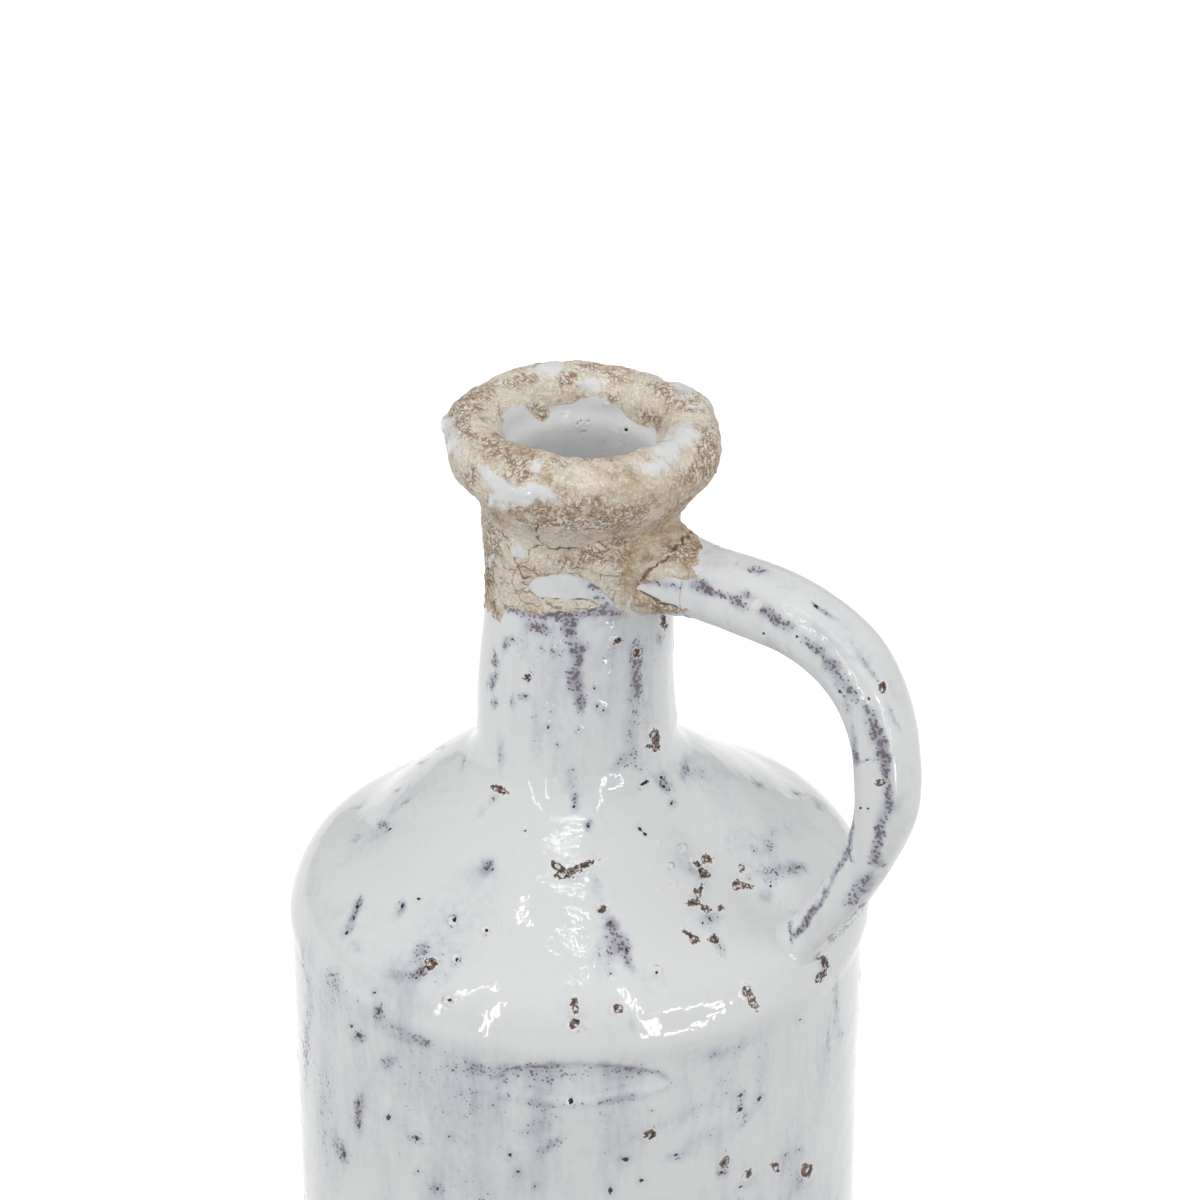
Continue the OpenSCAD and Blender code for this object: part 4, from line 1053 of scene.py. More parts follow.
# Crust looks: where it lies, its flakes, lumps and grit, its stains, cracks and islands of glaze
def crustLooks(p, n, theta, s):
    u, v = photoOf(p)
    ru, rv = roughPhotoOf(p, *crustForm["ragged"])
    lift, fields = glazeLooks(p, n, theta, s)
    shown = ease(facingOf(p, n), 0.0, 0.1)
    seen = shown > 0.5
    rough = layered(p, 9, 31, 3)
    onRim = ease(s, sRim - 2, sRim + 6)
    inMouth = ease(s, sLip + 3, sLip + 13)
    edge = patch(ru, rv, crustMarks["neckEdge"])
    torn = crustForm["windowTorn"]
    window = patch(u + torn * (ru - u), v + torn * (rv - v), crustMarks["window"])
    throat = patch(ru, rv, crustMarks["throat"])
    neckTorn, mouthTorn = crustForm["edgeTorn"]
    around = np.clip(p[..., 2] - crustForm["lowEdge"] + neckTorn * rough, farOut, -farOut)
    onNeck = np.where(seen, np.minimum(edge, -window), around)
    overLip = np.clip(sLip + crustForm["inside"] + mouthTorn * rough - s, farOut, -farOut)
    overLip = np.where(seen & (s > sLip + 6), -throat, overLip)
    cover = np.where(s < sRim, onNeck, overLip)
    sound = ease(s, sLip + 8, sLip + 14)                       # glaze down in the throat
    # The throat's glaze is kept whiter than elsewhere: painted light against the shade inside the mouth
    even, uneven = crustForm["throatPaintedLight"]
    fields["thin"] = np.where(s < sRim, fields["thin"], (even + uneven * rough) * sound)
    fields["calm"] = sound * (s > sRim)
    fields["speck"] = np.where((s < sRim) | (s > sLip + 12), fields["speck"], farOut)
    fields["pit"] = np.where(s < sRim, fields["pit"], farOut)
    flakeHigh, flakeWide = crustForm["flake"]
    near, second, tone = cells(p + 1.5 * rough[..., None], flakeWide, 44)
    seam = (second - near) * flakeWide
    broken = 0.16 * layered(p, 3.5, 47, 2)
    crack = np.where(seen, strokes(ru, rv, crustMarks["cracks"]), 0.22 - seam) - 0.15 + broken
    plates = np.max([ease(patch(ru, rv, line), -0.1, 0.7) for line in crustMarks["plates"]], 0) * shown
    torn = crustForm["islandTorn"]
    iu, iv = u + torn * (ru - u), v + torn * (rv - v)
    drip = patch(iu, iv, crustMarks["drip"]) - crustForm["dripLess"]
    islands = np.maximum(ovals(iu, iv, crustMarks["islands"]), drip)
    island = np.where(seen, islands, scattered(theta, s, 35, islandsUnseen) + 0.5 * rough)
    island = np.where(s < sLip + 13, island, farOut)
    stainHid = np.clip(0.35 + 0.7 * rough, 0, 1)               # on the sides that the photo doesn't show
    paleHid = np.clip(0.25 + 0.6 * layered(p, 13, 37, 2), 0, 1)
    tanHid = np.clip(0.35 + 0.5 * layered(p, 17, 39, 2), 0, 1)
    stain = shown * smears(ru, rv, crustMarks["stains"]) + (1 - shown) * stainHid
    pale = shown * smears(ru, rv, crustMarks["pale"]) + (1 - shown) * paleHid
    tanned = shown * smears(ru, rv, crustMarks["tans"]) + (1 - shown) * tanHid
    high, wide = crustForm["lump"]
    lumps = high * layered(p, wide, 51, 2) * (0.3 + 0.7 * onRim) * (1 - 0.85 * inMouth)
    fine, narrow = crustForm["grit"]
    grit = fine * layered(p, narrow, 53, 2) * (1.15 - np.clip(pale, 0, 0.9)) * (1 - 0.6 * inMouth)
    flakes = flakeHigh * np.where(seen, plates, (tone - 0.5) * 1.2) * (1 - onRim)
    on = ease(cover, -0.25, 0.6)
    onIsland = ease(island, -1.0, 1.4)
    thick = crustForm["thick"] * (0.35 + 0.65 * ease(cover, 0.2, 5.0)) * (1 - onRim)
    relief = thick + lumps + grit * (1 - onIsland) + flakes + crustForm["islandHigh"] * onIsland
    relief -= crustForm["crackDeep"] * ease(crack, -0.5, 0.15) * (1 - onIsland)
    relief += crustForm["knobHigh"] * ease(ovals(u, v, crustMarks["knobs"]), -1.0, 1.2) * shown
    amount, past, reach = crustForm["nearLip"]
    relief += amount * ease(np.cos(theta - frontA), 0.2, 1.0) * np.exp(-((s - sLip - past) / reach) ** 2)
    lift = (lift * (1 - on) + relief * on) * (1 - ease(s, sThroat - 4, sThroat))
    lift += crustForm["liningHigh"] * ease(s, sThroat - 1, sThroat)
    fields.update({"crust": cover, "crack": crack, "island": island, "flaky": 1 - onRim,
                   "stain": np.clip(stain, 0, 1.3), "pale": np.clip(pale, 0, 1.1),
                   "tanned": np.clip(tanned, 0, 1.2)})
    return lift, fields


islandsUnseen = randomMarks(16, sCoil + 60, sThroat, 1.6, 4.2, 2.0, 77)


# Turned line: each point's radius and height, carried round the axis in even steps of the angle
def turnedLine(line, cols):
    theta = np.linspace(-np.pi, np.pi, cols, endpoint=False)
    r, z = line[:, 0][:, None], line[:, 1][:, None]
    return np.stack([r * np.cos(theta), r * np.sin(theta), z + 0 * theta], -1), r, z, theta


# Foot disc: a flat underside with turning grooves, a bevel and a straight edge
footDisc = {
    "bevel": 3.0,
    "groove": 0.12,          # mm deep
    "apart": 5.5,            # mm between grooves
    "smooth": 6.0,           # mm at the edge without grooves
    "worn": (0.35, 11.0),    # mm of wear over mm of width, at the edge
    "eye": 3.0,              # radius of the innermost ring
    "cols": 240,
}


# Foot disc: rings out along the underside, round the bevel and back over the top, each a circle
def makeFootDisc():
    bevel, smooth, eye = footDisc["bevel"], footDisc["smooth"], footDisc["eye"]
    under = [(r, 0.0) for r in np.linspace(eye, footR - bevel, 64)]
    corner = [(footR - bevel * k, bevel * (1 - k)) for k in (0.6, 0.2, 0.0)]
    side = [(footR, z) for z in np.linspace(4, footZ - 0.1, 6)] + [(footR - 0.3, footZ)]
    over = [(r, footZ) for r in np.linspace(footR - smooth, eye, 24)]
    p, r, z, theta = turnedLine(np.array(under + corner + side + over), footDisc["cols"])
    edge = ease(r, footR - 12, footR) * (z < footZ - 0.05)
    amount, width = footDisc["worn"]
    worn = amount * layered(p, width, 61, 3) * edge
    groove = 0.5 + 0.5 * np.sin(2 * np.pi * (r + 0.02 * r * np.sin(theta)) / footDisc["apart"])
    below = (z == 0) & (r < footR - smooth)
    p[..., 2] += np.where(below, footDisc["groove"] * groove, 0)
    p[..., :2] *= (1 - np.abs(worn) / np.maximum(r, 1))[..., None]
    fields = {"groove": np.where(below, groove, 0.3)[::-1, ::-1]}
    piece = gridMesh("foot_disc", p[::-1, ::-1], fields, terracottaFinish, False)
    place(piece, "base_slab")


makeFootDisc()

# Corner coil inside, between the foot disc and the wall
cornerCoil = {
    "lip": 0.6,
    "hollow": 9.0,           # radius
    "back": 4.0,             # mm, first points on both backs
    "pressed": (0.5, 12.0, 0.6),   # depth of finger marks, mm wide, share of it that is kept
    "cols": 200,
}


# Corner coil: a hollow quarter circle with its two straight backs, turned round the axis
def makeCornerCoil():
    outR = wallInR - jug["slip"]
    lip, deep, back = cornerCoil["lip"], cornerCoil["hollow"], cornerCoil["back"]
    centre = (outR - lip - deep, footZ + lip + deep)
    backs = [(centre[0], footZ), (outR - back, footZ), (outR, footZ), (outR, footZ + back),
             (outR, centre[1])]
    hollow = arcPoints(centre, deep, 0, -90, 14)
    p = turnedLine(np.concatenate([backs, hollow]), cornerCoil["cols"])[0]
    amount, width, share = cornerCoil["pressed"]
    press = np.zeros(p.shape[:2])
    press[6:-1] = -amount + amount * noise(p[6:-1], width, 63)
    p[..., 2] += np.minimum(press, 0) * share
    fields = {key: np.full(p.shape[:2], value) for key, value in glazeBlank.items()}
    place(gridMesh("corner_coil", p, fields, whiteGlazeFinish), "base_coil")


makeCornerCoil()

# Wall of the body
wallForm = {"rows": 132, "cols": 720, "dense": 0.55}
lapR = wallInR + jug["lapT"]
lapEndZ = seamZ - jug["lapH"]
wallHidden = [(lapR + jug["slip"], seamZ), (lapR + jug["slip"], lapEndZ), (wallInR, lapEndZ),
              (wallInR, 150), (wallInR, 80), (wallInR, footZ)]
bodyWall = turnedPiece("body_wall_skin", 0.0, sSeam, wallForm, wallHidden, glazeLooks, whiteGlazeFinish,
                       glazeBlank)
place(bodyWall, "body_wall")

# Shoulder
domeForm = {"rows": 124, "cols": 700, "dense": 0.0, "thick": 8.0}
holeR = jug["mouthR"] + jug["spigotT"] + jug["slip"]
seatInR = seatR + (jug["seatT"] - domeForm["thick"] / math.cos(slopeA)) / math.tan(slopeA)
domeArc = arcPoints(edgeC, jug["edgeR"] - domeForm["thick"], 90 - jug["slope"], 0, 9)
domeHidden = ([(holeR, seatZ), (holeR, seatZ - jug["seatT"]), (seatInR, seatZ - jug["seatT"])]
              + [tuple(q) for q in domeArc]
              + [(wallInR, seamZ), (wallInR, lapEndZ), (lapR, lapEndZ), (lapR, seamZ)])
dome = turnedPiece("shoulder_skin", sSeam, sSeat, domeForm, domeHidden, glazeLooks, whiteGlazeFinish,
                   glazeBlank)
place(dome, "shoulder_dome")

# Hollow coil at the foot of the neck
coilForm = {"rows": 26, "cols": 480, "dense": 0.0}
coilInR = jug["neckFootR"] + jug["slip"]
coilHidden = [(coilInR, coilTop[1]), (coilInR, seatZ)]
neckFoot = turnedPiece("neck_foot_coil", sSeat, sCoil, coilForm, coilHidden, glazeLooks, whiteGlazeFinish,
                       glazeBlank)
place(neckFoot, "neck_coil")

# Neck
neckForm = {"rows": 176, "cols": 500, "dense": 0.45}
spigotR = jug["mouthR"] + jug["spigotT"]
neckHidden = [(spigotR, rimZ), (spigotR, neckHigh[2]), (jug["mouthR"], neckHigh[2]),
              (jug["mouthR"], neckHigh[2] - 0.4), (jug["mouthR"], 330), (jug["mouthR"], 290),
              (jug["mouthR"], neckLow[2]), (spigotR, neckLow[2]), (spigotR, seatZ),
              (jug["neckFootR"], seatZ), (jug["neckFootR"], coilTop[1])]
neck = turnedPiece("neck_skin", sCoil, sRim, neckForm, neckHidden, crustLooks, crustedFinish, crustBlank)
place(neck, "neck_tube")

# Rim
rimForm = {"rows": 138, "cols": 600, "dense": 0.0}
socketZ = rimZ + jug["rimLap"]
sLining = lengthAt(jug["mouthR"], neckHigh[2] - 1.5)
rimHidden = [(jug["mouthR"] - 0.01, neckHigh[2] - 1.4), (jug["mouthR"] - 0.01, neckHigh[2] + 0.1),
             (holeR, socketZ), (holeR, rimZ)]
rim = turnedPiece("rim_crust", sRim, sLining, rimForm, rimHidden, crustLooks, crustedFinish, crustBlank)
place(rim, "rim_collar")


# Handle: a pulled strap on two curves in the XZ plane, thick at the neck and slim at the shoulder
strapForm = {
    "root": [(26.7, 337.98), (73.6, 337.98), (112.0, 341.98), (112.0, 287.98)],       # mm, x and z
    "land": [(112.0, 287.98), (112.0, 264.5), (85.07, 231.75), (78.26, 218.95)],
    "thick": (11.0, 6.0),        # half thickness at the neck and at the shoulder
    "wide": (10.5, 6.0),
    "taper": (0.5, 1.9),
    "square": 2.5,               # 2 is an oval section, more is squarer
    "ridge": (0.55, -47.0, 16.0),     # mm high, at degrees round the section, degrees wide
    "worn": 1.25,                # how much stronger its smears are than listed
    "bow": 1.1,                  # mm, how far it stands out from its curve between its ends
    "ragged": (2.0, 2.2),        # pixels by which outlines of marks are torn, over mm
    "veil": 0.1,                 # thinness of the glaze all over it
    "otherRidges": (47, 133, -133),    # degrees round the section, on the sides that the photo doesn't show
    "wobble": (0.45, 34.0),      # mm of unevenness over mm of width, as is the next
    "ripple": (0.10, 7.0),
    "thinDeep": 0.10,            # mm, as are the next four
    "pitDeep": 0.35,
    "crackDeep": 0.5,
    "crustHigh": 0.35,
    "crustGrit": 0.3,
    "crustReach": (9.0, 4.0),    # mm of crust out from the neck on the far side: even, uneven
    "search": (-0.3, 2.3, 1561),       # places along the curves that are tried for its two ends
    "sink": 0.6,                 # mm that its ends go into the jug
    "sharp": 70.0,               # degrees, a sharper edge isn't smoothed
    "rows": 430,
    "cols": 150,
}
strapMarks = {
    "smears": [
        (651, 582, 9, 4, 0, 1.0), (672, 585, 12, 6, 5, 0.6), (699, 585, 9, 6, 20, 1.0),
        (711, 592, 8, 4.5, 20, 1.1), (723, 595, 7, 4, 20, 0.9), (735, 601, 8, 5, 25, 1.1),
        (747, 595, 8, 5, 20, 1.0), (743, 606, 8, 5, 25, 0.7), (765, 611, 7, 6, 40, 0.9),
        (775, 618, 8, 5, 35, 1.15), (789, 626, 8, 6, 30, 1.1), (806, 642, 11, 6, 38, 0.8),
        (818, 649, 10, 6.5, 40, 0.9), (830, 664, 12, 7, 48, 0.8), (840, 678, 12, 7, 52, 0.8),
        (852, 693, 12, 7, 52, 0.8), (868, 709, 7, 5, 60, 1.1), (873, 723, 11, 7, 70, 1.05),
        (878, 740, 11, 7, 75, 1.1), (883, 754, 11, 7, 78, 1.1), (884, 769, 11, 6, 86, 1.05),
        (886, 779, 6, 5, 90, 0.8), (888, 793, 9, 4.5, 84, 0.95), (890, 807, 9, 7, 90, 0.65),
        (882, 824, 11, 7, 98, 0.6), (879, 838, 11, 6, 96, 1.1), (877, 853, 8, 6.5, 96, 1.15),
        (873, 860, 6, 4, 130, 1.0), (864, 882, 12, 9, 115, 0.55), (853, 898, 12, 8, 115, 0.6),
        (871, 875, 12, 5, 118, 0.4), (882, 864, 4, 3, 0, 0.7), (853, 745, 20, 2.5, 82, 0.55),
        (850, 800, 40, 2.5, 94, 0.4), (845, 702, 14, 3, 68, 0.5), (815, 605, 4, 2, 35, 0.8),
        (824, 612, 14, 2.4, 30, 0.5), (755, 572, 9, 3.5, 8, 0.7), (870, 670, 22, 2, 55, 0.4),
        (895, 720, 24, 2, 62, 0.5), (860, 655, 30, 8, 52, 0.22), (800, 590, 40, 7, 24, 0.2),
        (740, 570, 40, 8, 15, 0.2), (905, 800, 14, 40, 0, 0.16), (900, 700, 30, 8, 60, 0.2),
        (866, 761, 9, 1.6, -8, 0.9), (854, 760, 3, 6, 0, 0.8), (830, 640, 40, 4, 42, 0.25),
        (720, 620, 30, 6, 18, 0.2), (780, 650, 30, 7, 34, 0.2), (885, 880, 14, 5, 118, 0.3)],
    # Lines along the strap's edges near the shoulder and at its foot: painted shade next to where it meets
    # the shoulder, drawn as thin glaze
    "lines": [
        (3.0, [(847, 850), (841, 862), (833, 875), (827, 891), (819, 904), (811, 915), (803, 927),
               (796, 935)]),
        (2.2, [(792, 925), (792, 940)]),
        (2.6, [(864, 904), (858, 912), (849, 921), (840, 931), (829, 940)]),
        (1.0, [(853, 812), (850, 835), (847, 851), (852, 863)])],
    "bubbles": [(758, 604, 6, 6, 0)],
    "specks": [
        (815, 605, 3, 1.6, 35), (868, 700, 1.8, 1.8, 0), (839, 693, 1.8, 1.6, 0),
        (797, 637, 1.7, 1.6, 0), (764, 633, 1.6, 1.4, 0), (860, 808, 1.2, 1, 0), (867, 809, 1.2, 1, 0),
        (866, 761, 2, 1, 0)],
    "pits": [(883, 687, 3, 4, 10), (880, 783, 4, 2.4, 0)],
    "crust": [
        [(596, 490), (700, 490), (700, 530), (699, 540), (704, 549), (697, 556), (701, 563),
         (692, 566), (695, 573), (701, 578), (684, 579), (668, 577), (655, 580), (640, 583),
         (625, 604), (596, 604)],
        [(634, 586), (648, 594), (660, 601), (672, 603), (680, 609), (692, 608), (684, 614),
         (670, 612), (660, 617), (650, 613), (640, 616), (630, 610)]],
    "stains": [
        (694, 551, 14, 9, 10, 1.0), (676, 553, 10, 8, 0, 0.6), (662, 607, 22, 5, 12, 0.9),
        (684, 609, 5, 3, 0, 0.8)],
    "pale": [(671, 573, 26, 6, 3, 0.8)],
    "cracks": [(1.2, [(636, 586), (649, 569), (667, 559), (677, 546), (690, 533)])],
    "cracksLow": [(0.9, [(640, 590), (655, 600), (680, 608)])],
}
taperU = strapForm["taper"]


# Strap point: the curve's point at u, plus the section's two radii along its own normal and along Y
def strapPoint(angle, u, grow):
    first = np.clip(u, 0, 1)
    later = np.clip(u - 1, 0, 1)
    low = u < 1
    root, land = np.array(strapForm["root"]), np.array(strapForm["land"])
    c = np.where(low[..., None], cubic(root, first), cubic(land, later))
    t = np.where(low, first, later)[..., None]
    q = np.where(low[..., None, None], root, land)
    d = (1 - t) ** 2 * (q[..., 1, :] - q[..., 0, :]) + 2 * (1 - t) * t * (q[..., 2, :] - q[..., 1, :])
    d = d + t * t * (q[..., 3, :] - q[..., 2, :])
    c = c + 3 * d * (np.minimum(u, 0) + np.maximum(u - 2, 0))[..., None]      # straight on past both ends
    d = d / np.linalg.norm(d, axis=-1, keepdims=True)
    k = ease(u, *taperU)
    halfT = strapForm["thick"][0] * (1 - k) + strapForm["thick"][1] * k
    halfW = strapForm["wide"][0] * (1 - k) + strapForm["wide"][1] * k
    power = 2 / strapForm["square"]
    ca, sa = np.cos(angle), np.sin(angle)
    high, degrees, width = strapForm["ridge"]
    turn = np.mod(np.degrees(angle) - degrees + 180, 360) - 180
    ridge = high * np.exp(-(turn / width) ** 2) * (1 - 0.6 * k)
    bow = strapForm["bow"] * ease(u, 0.1, 0.5) * (1 - ease(u, 1.75, 2.0))
    along = (halfT + grow + ridge) * np.sign(ca) * np.abs(ca) ** power + bow
    across = (halfW + grow + ridge) * np.sign(sa) * np.abs(sa) ** power
    return np.stack([c[..., 0] - d[..., 1] * along, across, c[..., 1] + d[..., 0] * along], -1)


skinUp = skinS <= sRim                          # the outline below the rim, where it only rises


# Depth under the jug's outside: the skin's radius at that height and angle less the point's own
def underSkin(p):
    q = p - leanOf(p[..., 2])[..., None] * viewRight
    z = q[..., 2]
    theta = np.arctan2(q[..., 1], q[..., 0])
    r = np.interp(z, skinLine[skinUp, 1], skinLine[skinUp, 0]) + np.interp(z, *girthLine)
    s = np.interp(z, skinLine[skinUp, 1], skinS[skinUp])
    steep = np.maximum(np.interp(s, skinS, skinWay[:, 1]), 0.3)
    onSkin = np.stack([r * np.cos(theta), r * np.sin(theta), z], -1)
    return r + handLift(onSkin, theta, s) / steep - np.hypot(q[..., 0], q[..., 1])


# Ends of the strap: for each angle, where it comes out of the neck and where it goes into the shoulder
def strapEnds(angle, grow, sink):
    u = np.linspace(*strapForm["search"])
    grid, turn = np.meshgrid(u, angle, indexing="ij")
    inside = underSkin(strapPoint(turn, grid, grow)) > sink
    half = len(u) // 2
    out = u[half - np.argmax(inside[half::-1], 0)]
    back = u[half + np.argmax(inside[half:], 0)]
    return out, back


# Strap looks: painted shade along its edges near the shoulder, other marks of the photo, and crust where it
# leaves the neck
def strapLooks(p, n, angle, withCrust):
    form = strapForm
    u, v = photoOf(p)
    ru, rv = roughPhotoOf(p, *form["ragged"])
    shown = ease(facingOf(p, n), 0.0, 0.1)
    seen = shown > 0.5
    grain = layered(p, 8, 71, 3)
    ridges = sum(np.exp(-((np.mod(np.degrees(angle) - a + 180, 360) - 180) / 9) ** 2)
                 for a in form["otherRidges"])
    elsewhere = ridges * np.clip(0.35 + 0.9 * grain, 0, 1)
    elsewhere = elsewhere + 0.5 * ease(layered(p, (14, 14, 20), 73, 2), 0.35, 0.8)
    # painted shade along the strap's edges near the shoulder, drawn as thin glaze
    line = ease(strokes(ru, rv, strapMarks["lines"]), -0.8, 0.6) * (1.1 + 0.5 * layered(p, 3, 74, 2))
    worn = form["worn"] * smears(ru, rv, strapMarks["smears"])
    thin = shown * (form["veil"] + worn + line) * (1 + 0.3 * grain) + (1 - shown) * elsewhere
    near, _, tone = cells(p, 9.0, 79)
    hidden = np.where(tone > 0.7, 0.16 + tone - near * 9, farOut)
    speck = np.where(seen, ovals(u, v, strapMarks["specks"], seen), hidden)
    pit = np.where(seen, ovals(u, v, strapMarks["pits"]), farOut)
    bubble = np.where(seen, ovals(u, v, strapMarks["bubbles"]), farOut)
    high, wide = form["wobble"]
    fine, narrow = form["ripple"]
    lift = high * layered(p, wide, 75, 2) + fine * noise(p, narrow, 76)
    hollow = ease(np.maximum(pit, speck * 0.8), -0.35, 0.5)
    lift -= form["thinDeep"] * np.clip(thin, 0, 1) + form["pitDeep"] * hollow
    fields = {"thin": np.tanh(np.maximum(thin, 0)), "speck": speck, "pit": pit, "bubble": bubble}
    if withCrust:
        photoCover = np.max([patch(ru, rv, line) for line in strapMarks["crust"]], 0)
        fromAxis = np.hypot(p[..., 0], p[..., 1])
        reach, uneven = form["crustReach"]
        around = np.clip(neckTopR + reach + uneven * grain - fromAxis, farOut, -farOut)
        cover = np.where(seen, photoCover, around)
        cracks = np.maximum(strokes(ru, rv, strapMarks["cracks"]), strokes(ru, rv, strapMarks["cracksLow"]))
        crack = np.where(seen, cracks, farOut)
        high, grit = form["crustHigh"], form["crustGrit"]
        on = ease(cover, -0.3, 0.5)
        lift += on * (high + grit * layered(p, 1.8, 53, 2)) - form["crackDeep"] * ease(crack, -0.4, 0.2)
        stain = shown * smears(u, v, strapMarks["stains"]) + (1 - shown) * np.clip(0.4 + 0.6 * grain, 0, 1)
        pale = shown * smears(u, v, strapMarks["pale"]) + (1 - shown) * 0.2
        fields.update({"crust": cover, "stain": np.clip(stain, 0, 1.3), "pale": pale, "crack": crack,
                       "island": np.full(u.shape, farOut), "flaky": np.full(u.shape, 0.5),
                       "tanned": np.full(u.shape, 0.55)})
    return lift, fields


# Strap mesh: rows from where it leaves the neck to where it meets the shoulder, columns round the section
def makeStrap():
    angle = np.linspace(-np.pi, np.pi, strapForm["cols"], endpoint=False)
    out, back = strapEnds(angle, 0.0, strapForm["sink"])
    t = np.linspace(0, 1, strapForm["rows"])[:, None]
    u = out + (back - out) * t
    turn = np.broadcast_to(angle, u.shape)
    p = strapPoint(turn, u, 0.0)[:, ::-1]
    turn = turn[:, ::-1]
    n = gridNormals(p)
    lift, fields = strapLooks(p, n, turn, True)
    lift = lift * ease(t, 0, 0.02) * (1 - ease(t, 0.98, 1.0))
    piece = gridMesh("handle_strap_skin", p + lift[..., None] * n, fields, crustedFinish, False, None,
                     strapForm["sharp"])
    place(piece, "handle_strap")


makeStrap()

# Luting coils: mm of spread on the jug, reach along the strap's curve, share by which the hollow is filled,
# and share of the spread that is left off on the outer side
rootCoil = {"spread": 5.5, "reach": 0.13, "rows": 26, "cols": 200, "bulge": 0.22, "lean": 0.0}
footCoil = {"spread": 3.8, "reach": 0.11, "rows": 24, "cols": 180, "bulge": 0.12, "lean": 0.75}
luting = {
    "sink": (0.2, 0.3),      # mm into the jug, at the strap and at the coil's edge
    "proud": (0.4, 0.12),    # mm off the strap, in the corner and at the coil's upper edge
    "buried": -0.5,          # mm off the strap, the two hidden rows
    "under": 0.9,            # share of the reach at which the upper hidden row lies
    "deeper": 0.02,          # along the curve, how far the other one goes into the jug
    "kept": 0.35,            # share of the lift that is kept at both edges
}


# Luting coil: (1-t)^2 times the jug's point, 2(1-t)t times the corner and t^2 times the strap's point,
# carried round the section
def makeLuting(name, form, atRoot, withCrust, material):
    angle = np.linspace(-np.pi, np.pi, form["cols"], endpoint=False)
    end, way = (0, 1) if atRoot else (1, -1)
    sinkStrap, sinkEdge = luting["sink"]
    inCorner, atTop = luting["proud"]
    ends = strapEnds(angle, 0.0, sinkStrap)[end]
    spread = form["spread"] * (1 - form["lean"] * np.maximum(np.cos(angle), 0))
    wide = strapEnds(angle, spread, sinkEdge)[end]
    onJug = strapPoint(angle, wide, spread)
    corner = strapPoint(angle, ends, inCorner)
    onStrap = strapPoint(angle, ends + way * form["reach"], atTop)
    corner = corner + form["bulge"] * ((onJug + onStrap) / 2 - corner)
    t = np.linspace(0, 1, form["rows"])[:, None, None]
    p = (1 - t) ** 2 * onJug + 2 * (1 - t) * t * corner + t * t * onStrap
    under = strapPoint(angle, ends + way * form["reach"] * luting["under"], luting["buried"])
    inJug = strapPoint(angle, ends - way * luting["deeper"], luting["buried"])
    if atRoot:
        p, under, inJug, angle = p[:, ::-1], under[::-1], inJug[::-1], angle[::-1]
    n = gridNormals(p)
    turn = np.broadcast_to(angle, p.shape[:2])
    lift, fields = strapLooks(p, n, turn, withCrust)
    hold = ease(t[..., 0], 0, 0.15) * (1 - ease(t[..., 0], 0.85, 1.0))
    p = p + (lift * (luting["kept"] + (1 - luting["kept"]) * hold))[..., None] * n
    whole = np.concatenate([p, under[None], inJug[None]])
    fields = {key: np.concatenate([value, value[-1:], value[:1]]) for key, value in fields.items()}
    return gridMesh(name, whole, fields, material, True, None, strapForm["sharp"])


rootClay = makeLuting("handle_root_clay", rootCoil, True, True, crustedFinish)
place(rootClay, "handle_root_coil")
footClay = makeLuting("handle_foot_clay", footCoil, False, False, whiteGlazeFinish)
place(footClay, "handle_foot_coil")


studio = {
    "world": 0.39,
    "floor": (0.5, 0.5, 0.5, 1),
    "floorHalf": 12.0,       # m
    "floorRough": 0.9,
    "glow": 0.75,            # the floor's brightness to the camera
    "lens": 157.68,
    "lampAim": (0, 0, 0.26),
}
# Lamps: name, degrees round and up, m away, m wide and tall, watts, seen in the gloss, gives light
lamps = [
    ("front_panel", -10, 33, 1.7, 1.5, 1.1, 5.6, False, True),
    ("top_panel", -10, 84, 1.7, 1.7, 1.7, 3.8, False, True),
    ("left_panel", -80, 25, 1.7, 1.0, 1.2, 5.6, False, True),
    ("right_panel", 75, 25, 1.7, 1.0, 1.2, 7.0, False, True),
    ("back_panel", 172, 30, 1.7, 1.5, 1.1, 4.0, False, True),
    ("left_strip", -50, 32, 1.6, 0.035, 1.9, 2.6, True, True),
    ("right_strip", 25, 32, 1.6, 0.035, 1.9, 2.6, True, True),
    ("top_strip", -20, 73, 1.6, 0.5, 0.012, 0.3, True, False),
    ("blind_mid", -4, 72, 0.5, 0.12, 0.003, 0.03, True, False),
    ("blind_high", -8, 79, 0.5, 0.10, 0.003, 0.03, True, False),
    ("left_line", -29, 10, 0.45, 0.012, 0.38, 0.19, True, False),
    ("lobe", 26, -1, 0.5, 0.035, 0.17, 0.22, True, False),
]
# A bowed row of small lamps: degrees round and up of its middle and of its bow, and what each one is
lampArc = {
    "count": 9,
    "half": 105,
    "middle": (37, 2),
    "bow": (11, 15),
    "lamp": (0.5, 0.034, 0.03, 0.05, True, False),
}


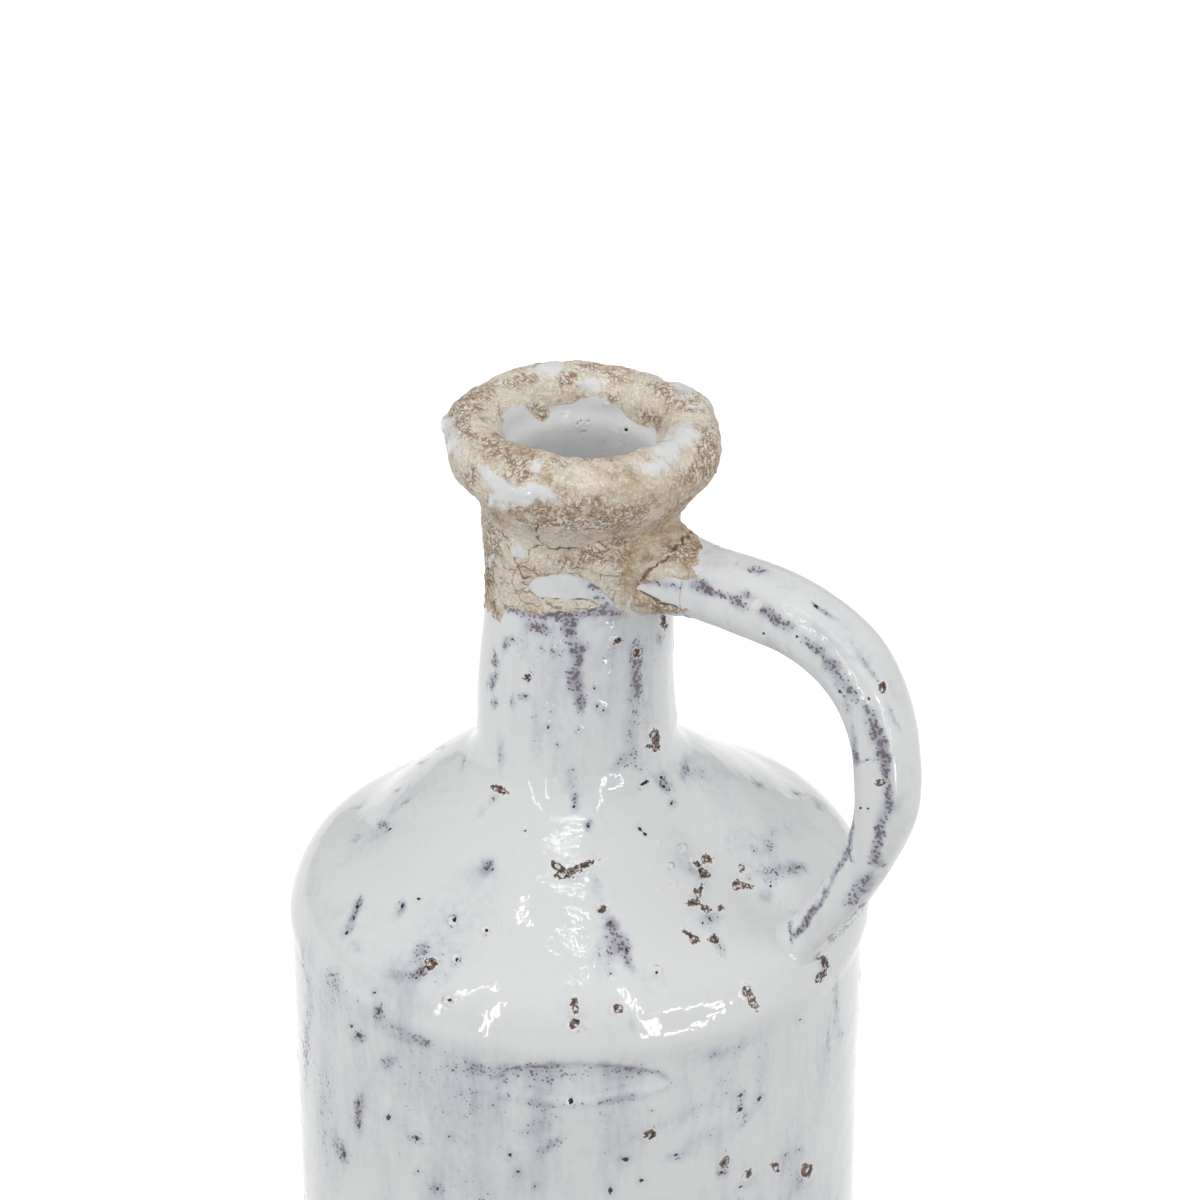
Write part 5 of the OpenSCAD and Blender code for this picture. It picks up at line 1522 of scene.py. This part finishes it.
# Soft lamp: stands away from the aim along the direction of its turn and height, and faces the aim
def softLamp(name, turn, height, away, width, tall, watts, shine, fill):
    a, e = math.radians(photoView["turn"] + turn), math.radians(height)
    way = Vector((math.sin(a) * math.cos(e), -math.cos(a) * math.cos(e), math.sin(e)))
    light = bpy.data.lights.new(name, "AREA")
    light.shape = "RECTANGLE"
    light.size, light.size_y = width, tall
    light.energy = watts
    lamp = bpy.data.objects.new(name, light)
    lamp.location = Vector(studio["lampAim"]) + way * away
    lamp.rotation_mode = "QUATERNION"
    lamp.rotation_quaternion = way.to_track_quat("Z", "Y")
    lamp.visible_glossy = shine
    lamp.visible_diffuse = fill
    lamp.visible_camera = False
    bpy.context.scene.collection.objects.link(lamp)


# Floor: one large square under the jug, white to the camera and in reflections, darker only in shadow
def makeFloor():
    mesh = bpy.data.meshes.new("floor")
    half = studio["floorHalf"]
    corners = [(-half, -half, 0), (half, -half, 0), (half, half, 0), (-half, half, 0)]
    mesh.from_pydata(corners, [], [(0, 1, 2, 3)])
    t = Tree("floor")
    shown = t.add("ShaderNodeLightPath", {}, {}, "Is Camera Ray")
    shown = shown.most(t.add("ShaderNodeLightPath", {}, {}, "Is Glossy Ray"))
    shown = shown.most(t.add("ShaderNodeLightPath", {}, {}, "Is Transmission Ray"))
    glow = t.mix(shown, (0, 0, 0, 1), (1, 1, 1, 1))
    material = t.finish({"Base Color": studio["floor"], "Roughness": studio["floorRough"],
                         "Specular IOR Level": 0.0, "Emission Color": glow,
                         "Emission Strength": studio["glow"]})
    mesh.materials.append(material)
    floor = bpy.data.objects.new("floor", mesh)
    bpy.context.scene.collection.objects.link(floor)


makeFloor()
for lamp in lamps:
    softLamp(*lamp)
for k, a in enumerate(np.radians(np.linspace(-lampArc["half"], lampArc["half"], lampArc["count"]))):
    turn = lampArc["middle"][0] + lampArc["bow"][0] * math.cos(a)
    height = lampArc["middle"][1] + lampArc["bow"][1] * math.sin(a)
    softLamp("arc_%d" % k, turn, height, *lampArc["lamp"])

world = bpy.data.worlds.new("studio")
bpy.context.scene.world = world
world.use_nodes = True
world.node_tree.nodes["Background"].inputs["Color"].default_value = (1, 1, 1, 1)
world.node_tree.nodes["Background"].inputs["Strength"].default_value = studio["world"]

cameraData = bpy.data.cameras.new("camera")
cameraData.lens = studio["lens"]
cameraData.sensor_width = 36.0
cameraData.clip_end = 50
camera = bpy.data.objects.new("camera", cameraData)
turned = Matrix([viewRight, viewUp, viewBack]).transposed()
camera.matrix_world = Matrix.Translation(Vector(eyeMm * 0.001)) @ turned.to_4x4()
bpy.context.scene.collection.objects.link(camera)
bpy.context.scene.camera = camera
bpy.context.scene.view_settings.view_transform = "Standard"
print("studio set")
